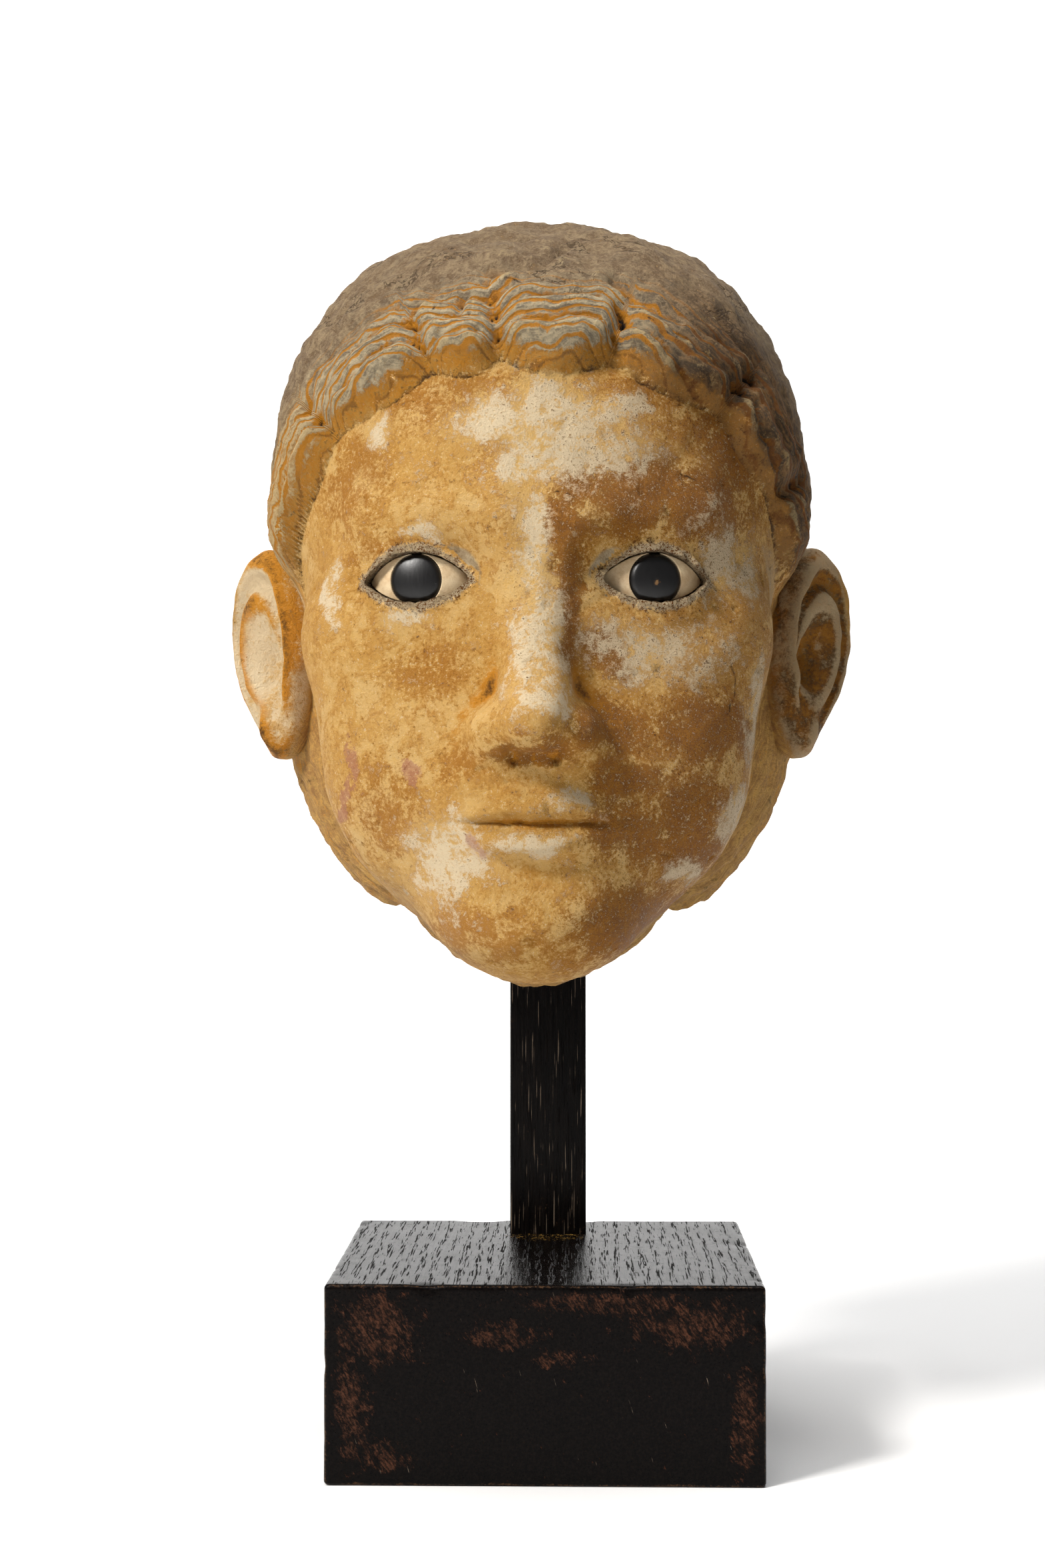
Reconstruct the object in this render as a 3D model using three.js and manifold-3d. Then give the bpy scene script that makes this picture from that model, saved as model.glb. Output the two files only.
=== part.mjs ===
// A moulded plaster funerary mask with inlaid eyes, held up on a stained oak post and block.
// Millimetres, +Z up, front towards -Y. The origin is the centre of the block's underside.
import * as THREE from "three";
import { mergeVertices } from "three/addons/utils/BufferGeometryUtils.js";
import Module from "manifold-3d";

// The stand.
const BLOCK_WIDTH = 126;
const BLOCK_DEPTH = 118;
const BLOCK_HEIGHT = 57;
const BLOCK_EDGE = 1.2; // the worn rounding along the block's edges
const POST_WIDTH = 24.5;
const POST_THICKNESS = 20;
const POST_SETBACK = 90; // from the block's front to the post's front
const POST_SHOWN = 84; // from the block's top to the chin
const HEAD_FORWARD = 31; // from the post's front to the head's own zero, ahead of it

// The mask. Its carving is drawn in head parts, 240 to the whole height.
const MASK_HEIGHT = 236;
const HEAD_PARTS = 240;
const MASK_SHIFT_X = -2.5; // the mask sits a little off the post's middle
const WALL = 13; // plaster between the face's main form and the hollow
const RIM_BREAK = 2.2; // how far the broken back edge wanders, in degrees

// The inlaid eyes. What follows the face is in head parts, the rest in millimetres.
const EYE_WIDTH = 30.5;
const EYE_UPPER_LID = 7.7; // rise of the upper lid's edge over the line between the corners
const EYE_LOWER_LID = 6.5;
const EYE_TURN = 13; // degrees that each eye looks outwards, with the curve of the face
const EYEBALL_RADIUS = 20.3;
const IRIS_RADIUS = 7.5;
const LID_THICKNESS = 2.2;
const WHITE_THICKNESS = 7.5; // millimetres
const IRIS_THICKNESS = 3.5; // millimetres
const INLAY_GAP = 0.3; // millimetres

const PART = MASK_HEIGHT / HEAD_PARTS;
const CHIN_Z = BLOCK_HEIGHT + POST_SHOWN;

// Fineness of the shell: columns round the face, and rings from the nose root outwards.
const COLUMNS = 72;
const FACE_RINGS = 24;
const LOCK_RINGS = 11;
const BACK_RINGS = 5;
const HOLLOW_RINGS = 5;

const wasm = await Module();
wasm.setup();

// Small sums on numbers and on points [x, y, z].
const radians = (degrees) => (degrees * Math.PI) / 180;
const mix = (a, b, t) => a + (b - a) * t;
const clamp = (v, low, high) => Math.min(high, Math.max(low, v));
const smoothStep = (low, high, v) => {
  const t = clamp((v - low) / (high - low), 0, 1);
  return t * t * (3 - 2 * t);
};
const bell = (v, middle, width) => Math.exp(-(((v - middle) / width) ** 2));
const subtract = (p, q) => [p[0] - q[0], p[1] - q[1], p[2] - q[2]];

// Distance fields, negative inside. Lengths are in head parts.
function ellipsoid(p, centre, radii) {
  const q = subtract(p, centre);
  const near = Math.hypot(q[0] / radii[0], q[1] / radii[1], q[2] / radii[2]);
  const slope = Math.hypot(q[0] / radii[0] ** 2, q[1] / radii[1] ** 2, q[2] / radii[2] ** 2);
  return near === 0 ? -Math.min(...radii) : (near * (near - 1)) / slope;
}

function taperedBar(p, from, to, fromRadius, toRadius) {
  const along = subtract(to, from);
  const q = subtract(p, from);
  const length2 = along[0] ** 2 + along[1] ** 2 + along[2] ** 2;
  const t = clamp((q[0] * along[0] + q[1] * along[1] + q[2] * along[2]) / length2, 0, 1);
  const gap = Math.hypot(q[0] - along[0] * t, q[1] - along[1] * t, q[2] - along[2] * t);
  return gap - mix(fromRadius, toRadius, t);
}

function join(a, b, softness) {
  const h = Math.max(softness - Math.abs(a - b), 0) / softness;
  return Math.min(a, b) - (h * h * softness) / 4;
}

const carve = (a, b, softness) => -join(-a, b, softness);

// The head without its features: cranium, face, jaw and nape.
function mainForm(p) {
  const skull = ellipsoid(p, [0, 10, 152], [80, 86, 80]);
  const face = ellipsoid(p, [0, -12, 86], [66, 62, 80]);
  const nape = ellipsoid(p, [0, 38, 92], [80, 46, 84]);
  return join(join(skull, face, 24), nape, 9);
}

// The nose: a straight ridge, a round tip, two wings and two nostrils.
function withNose(d, q) {
  d = join(d, taperedBar(q, [0, -67, 124], [0, -82, 84], 7, 9), 11);
  d = join(d, taperedBar(q, [0, -82, 84], [0, -89.5, 77], 9, 9.5), 6);
  d = join(d, ellipsoid(q, [11.5, -79, 74], [7, 9.5, 7]), 6);
  return carve(d, ellipsoid(q, [6.3, -86, 66], [3.6, 6, 3.6]), 2);
}

// Brow, eye socket and the lids' mound over the inlaid eye.
function withEyes(d, q) {
  d = join(d, taperedBar(q, [12, -69, 135], [46, -54, 138], 5, 4), 16);
  d = carve(d, ellipsoid(q, [31, -82, 121], [17, 17, 12]), 9);
  const mound = Math.hypot(...subtract(q, eyeballCentre())) - (EYEBALL_RADIUS + LID_THICKNESS);
  const opening = ellipsoid(q, [30, -66, 119], [19, 16, 11.5]);
  return join(d, Math.max(mound, opening), 3);
}

// Cheekbones, jaw, the mound of the mouth, the chin, and lips that thin out towards the corners.
function withMouth(d, q) {
  const toCorner = (q[0] / 22) ** 2;
  const bow = 1.6 * bell(q[0], 6.5, 4);
  d = join(d, ellipsoid(q, [46, -34, 103], [22, 22, 18]), 20);
  d = join(d, ellipsoid(q, [32, -38, 66], [28, 25, 34]), 20);
  d = join(d, ellipsoid(q, [0, -53, 54], [33, 26, 28]), 18);
  d = join(d, ellipsoid(q, [0, -47, 23], [30, 31, 22]), 16);
  d = join(d, ellipsoid(q, [0, -76 + 4.5 * toCorner, 52.6 + bow - 3 * toCorner], [24, 7.5, 5]), 4);
  d = join(d, ellipsoid(q, [0, -75 + 4.5 * toCorner, 42.4 + 3.5 * toCorner], [21, 7.5, 5.8]), 4);
  d = carve(d, ellipsoid(q, [0, -86 + 7 * toCorner, 47.7 + 0.8 * toCorner], [25, 8, 1.3]), 2.5);
  d = carve(d, ellipsoid(q, [0, -87, 62], [3, 5, 6]), 4);
  return carve(d, ellipsoid(q, [0, -86, 32], [16, 8, 4]), 10);
}

function eyeballCentre() {
  return [EYE_WIDTH, -46, 119];
}

// Paired features are drawn on one side and mirrored, with the fold between the halves eased.
function skin(p) {
  const q = [Math.hypot(p[0], 3), p[1], p[2]];
  return withMouth(withEyes(withNose(mainForm(p), q), q), q);
}

// Directions from the middle of the head: azimuth round the line of sight, polar angle away from it.
const MIDDLE = [0, 10, 100];

function direction(azimuth, polar) {
  const [a, b] = [radians(azimuth), radians(polar)];
  return [Math.sin(b) * Math.cos(a), -Math.cos(b), Math.sin(b) * Math.sin(a)];
}

const outFrom = (way, reach) => MIDDLE.map((v, i) => v + way[i] * reach);

// How far a form reaches along a direction, found from outside inwards.
function reachOf(form, way) {
  const [farthest, step] = [190, 3];
  let high = farthest;
  while (high > step && form(outFrom(way, high - step)) > 0) high -= step;
  let low = high - step;
  for (let i = 0; i < 18; i++) {
    const half = (low + high) / 2;
    if (form(outFrom(way, half)) > 0) high = half;
    else low = half;
  }
  return (low + high) / 2;
}

// A smooth closed curve of polar angle over azimuth, through [azimuth, polar] knots.
function curveOver(knots, azimuth) {
  const count = knots.length;
  const turn = ((((azimuth - knots[0][0]) % 360) + 360) % 360) + knots[0][0];
  const at = (i) => {
    const laps = Math.floor(i / count);
    const [a, b] = knots[i - laps * count];
    return [a + laps * 360, b];
  };
  let i = 0;
  while (at(i + 1)[0] <= turn) i++;
  const [before, from, to, after] = [at(i - 1), at(i), at(i + 1), at(i + 2)];
  const span = to[0] - from[0];
  const t = (turn - from[0]) / span;
  const leave = ((to[1] - before[1]) / (to[0] - before[0])) * span;
  const arrive = ((after[1] - from[1]) / (after[0] - from[0])) * span;
  const [t2, t3] = [t * t, t * t * t];
  return (
    (2 * t3 - 3 * t2 + 1) * from[1] +
    (t3 - 2 * t2 + t) * leave +
    (3 * t2 - 2 * t3) * to[1] +
    (t3 - t2) * arrive
  );
}

// Knots from the chin up one side, taken on down the other.
function mirrored(knots) {
  const other = knots.slice(1, -1).reverse().map(([azimuth, polar]) => [180 - azimuth, polar]);
  return [...knots, ...other];
}

// The border between face and hair, which goes on in front of the ears and along the jaw.
const FACE_BORDER = mirrored([
  [-90, 57],
  [-75, 64],
  [-58, 75],
  [-42, 81],
  [-20, 82],
  [4, 80],
  [20, 75],
  [35, 63],
  [50, 56],
  [67, 50],
  [90, 46],
]);

// The open back edge, which runs forward below to the throat.
const BACK_EDGE = mirrored([
  [-90, 84],
  [-73, 87],
  [-57, 101],
  [-43, 113],
  [-24, 118],
  [8, 119],
  [41, 117],
  [69, 116],
  [90, 115],
]);

// Azimuths where one lock of the fringe ends and the next begins, from right to left.
const LOCK_ENDS = [16, 34, 52, 75, 97, 111, 133, 162];
const LOCK_DROP = 2.4; // how far a lock hangs over the forehead, in degrees
const HAIRLINE_STEP = 0.9; // the steep edge where the hair stands off the forehead, in degrees
const HAIR_RISE = 7;
const HAIR_ROLL = 6; // width over which the hair's front edge rounds up
const TRESS = 8.6; // width of one tress
const TRESS_DEPTH = 3;
const FRINGE = 34; // width of the combed band along the face
const FRINGE_ANGLE = 20; // the same band, in degrees from the head's middle

function lockAt(azimuth) {
  const i = LOCK_ENDS.findIndex((end, n) => azimuth >= end && azimuth < LOCK_ENDS[n + 1]);
  if (i < 0) return null;
  const across = (azimuth - LOCK_ENDS[i]) / (LOCK_ENDS[i + 1] - LOCK_ENDS[i]);
  return { number: i, across };
}

function borderAt(azimuth) {
  const lock = lockAt(azimuth);
  const drop = lock ? LOCK_DROP * Math.sin(Math.PI * lock.across) : 0;
  return curveOver(FACE_BORDER, azimuth) - drop;
}

function edgeAt(azimuth) {
  const a = radians(azimuth);
  const wander = 0.5 * Math.sin(5 * a + 1) + 0.3 * Math.sin(11 * a) + 0.2 * Math.sin(19 * a + 2);
  return curveOver(BACK_EDGE, azimuth) + RIM_BREAK * wander;
}

// Height of the hair over the skull, by its distance in from the border. The tresses run along the border.
function hairRelief(azimuth, inward) {
  const covered = smoothStep(12, 26, azimuth) * smoothStep(168, 154, azimuth);
  const napeHair = 0.6 * (1 - covered) * smoothStep(10, 30, inward);
  const rollUp = Math.sqrt(1 - (1 - clamp(inward / HAIR_ROLL, 0, 1)) ** 2);
  const bulk = HAIR_RISE * Math.max(covered * rollUp, napeHair);
  const lock = lockAt(azimuth);
  if (!lock) return bulk;
  const fade = covered * smoothStep(1, 4, inward) * smoothStep(FRINGE + 6, FRINGE - 8, inward);
  const slant = lock.number * 0.4 + (azimuth > 90 ? 3 : -3) * (lock.across - 0.5);
  const tresses = TRESS_DEPTH * (Math.abs(Math.sin(((inward + slant) / TRESS) * Math.PI)) - 0.7);
  const width = LOCK_ENDS[lock.number + 1] - LOCK_ENDS[lock.number];
  const parting = 3 * bell(Math.min(lock.across, 1 - lock.across) * width, 0, 2.4);
  const crown = covered * smoothStep(FRINGE, FRINGE + 20, inward);
  const a = radians(azimuth);
  const lumps = 1.3 * Math.sin(7 * a + inward / 13) + 0.9 * Math.sin(12 * a - inward / 9);
  return bulk + fade * (tresses - parting) + crown * lumps;
}

// One point of the outer skin, in head parts.
function skinPoint(azimuth, polar) {
  const way = direction(azimuth, polar);
  const reach = reachOf(skin, way);
  const inward = Math.max(0, radians(polar - borderAt(azimuth)) * reach);
  return outFrom(way, reach + hairRelief(azimuth, inward));
}

function hollowPoint(azimuth, polar, wall) {
  const way = direction(azimuth, polar);
  return outFrom(way, reachOf(mainForm, way) - wall / PART);
}

// From head parts to the part's own frame, in millimetres.
const POST_FRONT = -BLOCK_DEPTH / 2 + POST_SETBACK;
const place = (p) => [MASK_SHIFT_X + p[0] * PART, POST_FRONT - HEAD_FORWARD + p[1] * PART, CHIN_Z + p[2] * PART];

// A closed surface from a pole, rings of points round it, and a far pole.
function closedRings(nearPole, rings, farPole) {
  const positions = [nearPole, ...rings.flat(), farPole].flat();
  const index = [];
  const count = rings[0].length;
  const last = 1 + rings.length * count;
  const at = (ring, column) => 1 + ring * count + (column % count);
  for (let c = 0; c < count; c++) {
    index.push(0, at(0, c), at(0, c + 1));
    index.push(last, at(rings.length - 1, c + 1), at(rings.length - 1, c));
    for (let r = 0; r + 1 < rings.length; r++) {
      index.push(at(r, c), at(r + 1, c + 1), at(r, c + 1));
      index.push(at(r, c), at(r + 1, c), at(r + 1, c + 1));
    }
  }
  const geometry = new THREE.BufferGeometry();
  geometry.setAttribute("position", new THREE.Float32BufferAttribute(positions, 3));
  geometry.setIndex(index);
  return geometry;
}

const azimuths = Array.from({ length: COLUMNS }, (_, i) => -90 + (i * 360) / COLUMNS);
const ringOf = (pointAt) => azimuths.map((azimuth) => place(pointAt(azimuth)));

// Polar angle of an outer ring: close rings on the face and on the fringe, wider ones behind.
function outerPolar(azimuth, ring) {
  const border = borderAt(azimuth);
  const edge = edgeAt(azimuth);
  if (ring <= FACE_RINGS) return (border * ring) / FACE_RINGS;
  const step = ring - FACE_RINGS;
  const fringeEnd = border + Math.min(FRINGE_ANGLE, (edge - border) / 2);
  if (step <= LOCK_RINGS) return mix(border + HAIRLINE_STEP, fringeEnd, (step - 1) / (LOCK_RINGS - 1));
  return mix(fringeEnd, edge, (step - LOCK_RINGS) / BACK_RINGS);
}

function shellGeometry() {
  const rings = [];
  const outerRings = FACE_RINGS + LOCK_RINGS + BACK_RINGS;
  for (let r = 1; r <= outerRings; r++) {
    rings.push(ringOf((azimuth) => skinPoint(azimuth, outerPolar(azimuth, r))));
  }
  for (let r = HOLLOW_RINGS; r >= 1; r--) {
    rings.push(ringOf((azimuth) => hollowPoint(azimuth, (edgeAt(azimuth) * r) / HOLLOW_RINGS, WALL)));
  }
  return closedRings(place(skinPoint(0, 0)), rings, place(hollowPoint(0, 0, WALL)));
}

// The space inside the mask, a clearance smaller and drawn out behind, for shaping the top of the post.
function hollowCoreGeometry() {
  const behind = [0, 250, MIDDLE[2]];
  const rings = [];
  for (let r = 1; r <= HOLLOW_RINGS; r++) {
    rings.push(ringOf((azimuth) => hollowPoint(azimuth, (edgeAt(azimuth) * r) / HOLLOW_RINGS, WALL + INLAY_GAP)));
  }
  return closedRings(place(hollowPoint(0, 0, WALL + INLAY_GAP)), rings, place(behind));
}

// An ear, as a ball drawn out to the ear's outline with its carving on the outer face.
const EAR_HEIGHT = 70;
const EAR_WIDTH = 36;
const EAR_CENTRE = [85.5, 27, 105];
const EAR_FLARE = 42; // degrees that the ear stands off the side of the head
const EAR_LEAN = 7;
const EAR_RIM = 3.2;
const EAR_THICKNESS = 8;
const EAR_BOWL = 6.5;

// The carving: a rolled rim, a fold inside it, the bowl and the round lobe. Both measures run from -1 to 1.
function earRelief(forward, up) {
  const out = Math.hypot(forward, up);
  const upper = smoothStep(-0.75, -0.2, up);
  const rim = EAR_RIM * bell(out, 0.86, 0.13) * upper;
  const fold = 1.6 * bell(out, 0.5, 0.14) * upper * smoothStep(0.7, -0.1, forward);
  const bowl = -EAR_BOWL * bell(Math.hypot(forward - 0.22, up + 0.08), 0, 0.34);
  const lobe = 3.4 * bell(Math.hypot(forward - 0.05, (up + 0.78) * 1.2), 0, 0.26);
  return rim + fold + bowl + lobe;
}

// The outline: broad above, drawn in to the lobe.
function earOutline(forward, up) {
  const narrowing = mix(1, 0.78, smoothStep(0.3, -0.7, up));
  return [forward * narrowing * (EAR_WIDTH / 2), up * (EAR_HEIGHT / 2)];
}

function earGeometry(side) {
  const ball = mergeVertices(bare(new THREE.SphereGeometry(1, 20, 14)));
  const at = ball.getAttribute("position");
  const flare = radians(EAR_FLARE);
  const lean = radians(EAR_LEAN);
  for (let i = 0; i < at.count; i++) {
    // The ball's own pole, its Y, becomes the ear's outward face.
    const [forward, outward, up] = [-at.getX(i), at.getY(i), at.getZ(i)];
    const [across, height] = earOutline(forward, up);
    const cap = Math.sqrt(Math.max(0, 1 - forward ** 2 - up ** 2));
    const fill = outward > 0 ? EAR_THICKNESS * cap ** 0.5 + earRelief(forward, up) * cap ** 0.25 : -12 * cap;
    const turned = [across * Math.cos(lean) - height * Math.sin(lean), across * Math.sin(lean) + height * Math.cos(lean)];
    const x = EAR_CENTRE[0] + fill * Math.cos(flare) - turned[0] * Math.sin(flare);
    const y = EAR_CENTRE[1] - fill * Math.sin(flare) - turned[0] * Math.cos(flare);
    at.setXYZ(i, ...place([side * x, y, EAR_CENTRE[2] + turned[1]]));
  }
  return side > 0 ? reversed(ball) : ball;
}

// Geometry helpers.
function bare(geometry) {
  const made = geometry.clone();
  made.deleteAttribute("normal");
  made.deleteAttribute("uv");
  return made;
}

function reversed(geometry) {
  const index = Array.from(geometry.getIndex().array);
  for (let i = 0; i < index.length; i += 3) [index[i + 1], index[i + 2]] = [index[i + 2], index[i + 1]];
  return geometry.setIndex(index);
}

function solid(geometry) {
  const merged = mergeVertices(bare(geometry), 1e-4);
  return new wasm.Manifold(
    new wasm.Mesh({
      numProp: 3,
      vertProperties: new Float32Array(merged.getAttribute("position").array),
      triVerts: new Uint32Array(merged.getIndex().array),
    }),
  );
}

function geometryOf(manifold) {
  const mesh = manifold.getMesh();
  const geometry = new THREE.BufferGeometry();
  geometry.setAttribute("position", new THREE.BufferAttribute(mesh.vertProperties, 3));
  geometry.setIndex(new THREE.BufferAttribute(mesh.triVerts, 1));
  geometry.computeVertexNormals();
  return geometry;
}

// The almond of an open eye, grown all round by an allowance, in head parts.
function almond(grow) {
  const half = EYE_WIDTH / 2 + grow * 1.6;
  const shoulder = half * 0.38;
  const upper = ((EYE_UPPER_LID + grow) * 4) / 3;
  const lower = ((EYE_LOWER_LID + grow) * 4) / 3;
  const shape = new THREE.Shape();
  shape.moveTo(-half, 0);
  shape.bezierCurveTo(-shoulder, upper, shoulder, upper, half, 0);
  shape.bezierCurveTo(shoulder, -lower, -shoulder, -lower, -half, 0);
  return shape;
}

function circle(radius) {
  const shape = new THREE.Shape();
  shape.absarc(0, 0, radius, 0, 2 * Math.PI);
  return shape;
}

// A form made in head parts along +Z, which is out of the eye, set onto one side's eyeball.
function eyeForm(geometry, side) {
  const [x, y, z] = eyeballCentre();
  geometry.rotateX(Math.PI / 2).rotateZ(radians(side * EYE_TURN)).scale(PART, PART, PART);
  return solid(geometry.translate(...place([side * x, y, z])));
}

// A prism through the eye from a depth under the eyeball's front, given in millimetres, out to the open.
function eyePrism(shape, depth, side) {
  const back = EYEBALL_RADIUS - depth / PART;
  const settings = { depth: EYEBALL_RADIUS + 30 - back, bevelEnabled: false, curveSegments: 10 };
  return eyeForm(new THREE.ExtrudeGeometry(shape, settings).translate(0, 0, back), side);
}

const eyeball = (side) => eyeForm(new THREE.SphereGeometry(EYEBALL_RADIUS, 22, 16), side);
const eyePocket = (side) => eyePrism(almond(INLAY_GAP / PART), WHITE_THICKNESS + INLAY_GAP, side);

function whiteSolid(side) {
  const seat = eyePrism(circle(IRIS_RADIUS + INLAY_GAP / PART), IRIS_THICKNESS + INLAY_GAP, side);
  return eyePrism(almond(0), WHITE_THICKNESS, side).intersect(eyeball(side)).subtract(seat);
}

function irisSolid(side) {
  const disc = eyePrism(circle(IRIS_RADIUS), IRIS_THICKNESS, side);
  return disc.intersect(eyePrism(almond(0), WHITE_THICKNESS, side)).intersect(eyeball(side));
}

function maskSolid() {
  let mask = solid(shellGeometry());
  for (const side of [-1, 1]) mask = mask.add(solid(earGeometry(side)));
  mask = mask.subtract(solid(hollowCoreGeometry()));
  for (const side of [-1, 1]) mask = mask.subtract(eyePocket(side));
  return mask;
}

// The block, with its edges worn round.
function blockGeometry() {
  const shape = new THREE.Shape();
  const [x, y] = [BLOCK_WIDTH / 2 - BLOCK_EDGE, BLOCK_DEPTH / 2 - BLOCK_EDGE];
  shape.moveTo(-x, -y).lineTo(x, -y).lineTo(x, y).lineTo(-x, y).closePath();
  return new THREE.ExtrudeGeometry(shape, {
    depth: BLOCK_HEIGHT - 2 * BLOCK_EDGE,
    bevelThickness: BLOCK_EDGE,
    bevelSize: BLOCK_EDGE,
    bevelSegments: 2,
  }).translate(0, 0, BLOCK_EDGE);
}

// The post: a plain batten up into the hollow, its top cut to the curve inside the crown.
function postSolid() {
  const top = CHIN_Z + MASK_HEIGHT;
  const batten = new THREE.BoxGeometry(POST_WIDTH, POST_THICKNESS, top - BLOCK_HEIGHT);
  batten.translate(0, POST_FRONT + POST_THICKNESS / 2, (BLOCK_HEIGHT + top) / 2);
  const reach = MASK_HEIGHT;
  const below = CHIN_Z + MASK_HEIGHT / 2;
  const free = new THREE.BoxGeometry(reach, reach, below).translate(0, 0, below / 2);
  return solid(batten).intersect(solid(hollowCoreGeometry()).add(solid(free)));
}

// Finishes.
const plaster = new THREE.MeshStandardMaterial({ color: 0xc79a4e, roughness: 0.85, metalness: 0 });
const whiteStone = new THREE.MeshStandardMaterial({ color: 0xd8c59a, roughness: 0.5, metalness: 0 });
const blackStone = new THREE.MeshStandardMaterial({ color: 0x0d0c0b, roughness: 0.25, metalness: 0 });
const darkOak = new THREE.MeshStandardMaterial({ color: 0x17120f, roughness: 0.4, metalness: 0 });

function piece(name, geometry, material) {
  const mesh = new THREE.Mesh(geometry, material);
  mesh.name = name;
  return mesh;
}

const group = new THREE.Group();
group.add(piece("base_block", blockGeometry(), darkOak));
group.add(piece("post", geometryOf(postSolid()), darkOak));
group.add(piece("mask", geometryOf(maskSolid()), plaster));
for (const [word, side] of [["left", -1], ["right", 1]]) {
  group.add(piece(`eye_white_${word}`, geometryOf(whiteSolid(side)), whiteStone));
  group.add(piece(`iris_${word}`, geometryOf(irisSolid(side)), blackStone));
}

export default group;
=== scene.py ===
"""An egyptian mummy mask of moulded plaster with inlaid eyes, on a dark oak post and block."""
import math

import bmesh
import bpy
import numpy as np
from mathutils import Matrix, Vector, noise


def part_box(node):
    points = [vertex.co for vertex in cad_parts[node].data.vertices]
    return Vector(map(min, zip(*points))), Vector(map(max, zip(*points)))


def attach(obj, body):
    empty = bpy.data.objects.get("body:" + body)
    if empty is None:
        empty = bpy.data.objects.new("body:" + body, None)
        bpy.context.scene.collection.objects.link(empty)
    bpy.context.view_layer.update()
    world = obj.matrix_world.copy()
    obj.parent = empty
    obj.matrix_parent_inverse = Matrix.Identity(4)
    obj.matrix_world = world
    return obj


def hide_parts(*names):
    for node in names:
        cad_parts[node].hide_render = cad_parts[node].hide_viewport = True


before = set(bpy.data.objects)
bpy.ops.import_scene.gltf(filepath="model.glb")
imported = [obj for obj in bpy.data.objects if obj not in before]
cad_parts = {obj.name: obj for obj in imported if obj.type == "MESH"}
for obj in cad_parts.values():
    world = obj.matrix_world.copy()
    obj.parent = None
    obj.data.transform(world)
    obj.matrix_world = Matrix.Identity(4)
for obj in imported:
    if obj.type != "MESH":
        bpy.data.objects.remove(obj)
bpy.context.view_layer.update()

MM = 0.001
BLOCK_LOW, BLOCK_HIGH = map(np.array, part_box("base_block"))
POST_LOW, POST_HIGH = map(np.array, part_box("post"))

# The mask's carving is drawn in head parts, 240 to its whole height, as its solid is.
MASK_HEIGHT = 236 * MM
PART = MASK_HEIGHT / 240
POST_SHOWN = 84 * MM
HEAD_FORWARD = 31 * MM
HEAD_ZERO = np.array([-2.5 * MM, POST_LOW[1] - HEAD_FORWARD, BLOCK_HIGH[2] + POST_SHOWN])
WALL = 13 * MM / PART

# The inlaid eyes, in head parts.
EYE_WIDTH = 30.5
EYE_UPPER_LID = 7.7
EYE_LOWER_LID = 6.5
EYE_TURN = 13
EYEBALL_RADIUS = 20.3
IRIS_RADIUS = 7.5
IRIS_FACE = 1.32  # radians from the middle of a ball's cap that is drawn out to the disc's face
IRIS_PROUD = 0.35
IRIS_EDGE_WEAR = 0.5
LID_OVERLAP = 0.15
LID_THICKNESS = 2.2
WHITE_THICKNESS = 7.5 * MM / PART
IRIS_THICKNESS = 3.5 * MM / PART
INLAY_GAP = 0.3 * MM / PART
EYEBALL_CENTRE = (EYE_WIDTH, -46, 119)
WHITE_CELLS, POCKET_CELLS = 64, 60
POCKET_REACH = 30
SEAT_DEPTH = 10
POCKET_CRUMBLE = 0.45
CORNER_GROWTH = 1.6  # an outline grown by 1 all round goes out this far at the eye's corners

# The plaster shell: cells along each edge of the cube that it is drawn from.
SHELL_CELLS = 118
OUTER_SHARE = math.radians(140)
RIM_SHARE = math.radians(147)
MIDDLE = np.array([0, 10, 100])

# The search for the skin along each direction: its start, its steps and its halvings.
SEEK_FROM = 150.0
SEEK_STEP = 3
SEEK_HALVINGS = 14

# Each seed moves the carving's noise along by this much.
SEED_STEP = 17.3


# Sums on arrays of points.
def length(*sides):
    return np.sqrt(sum(side * side for side in sides))


def ramp(low, high, value):
    """0 at low, 1 at high, and smooth in between. low may be the greater."""
    t = np.clip((value - low) / (high - low), 0, 1)
    return t * t * (3 - 2 * t)


def bell(value, middle, width):
    return np.exp(-(((value - middle) / width) ** 2))


def bumps(points, *layers):
    """Smooth noise over points, a sum of layers, each (height, size of its lumps, seed)."""
    total = 0
    for height, size, seed in layers:
        places = (points / size + SEED_STEP * seed).tolist()
        total = total + height * np.array([noise.noise(place) for place in places])
    return total


def ellipsoid(q, centre, radii):
    x, y, z = (q[i] - centre[i] for i in range(3))
    a, b, c = radii
    near = length(x / a, y / b, z / c)
    slope = length(x / a**2, y / b**2, z / c**2)
    return near * (near - 1) / np.maximum(slope, 1e-9)


def tapered_bar(q, start, end, start_radius, end_radius):
    along = np.subtract(end, start)
    x, y, z = (q[i] - start[i] for i in range(3))
    t = np.clip((x * along[0] + y * along[1] + z * along[2]) / (along @ along), 0, 1)
    gap = length(x - along[0] * t, y - along[1] * t, z - along[2] * t)
    return gap - (start_radius + (end_radius - start_radius) * t)


def join(a, b, softness):
    h = np.maximum(softness - np.abs(a - b), 0) / softness
    return np.minimum(a, b) - h * h * softness / 4


def carve(a, b, softness):
    return -join(-a, b, softness)


# The head's field, negative inside: main form, nose, eyes, then cheeks, mouth and chin.
def main_form(p):
    skull = ellipsoid(p, (0, 10, 152), (80, 86, 80))
    face = ellipsoid(p, (0, -12, 86), (66, 62, 80))
    nape = ellipsoid(p, (0, 38, 92), (80, 46, 84))
    return join(join(skull, face, 24), nape, 9)


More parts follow.
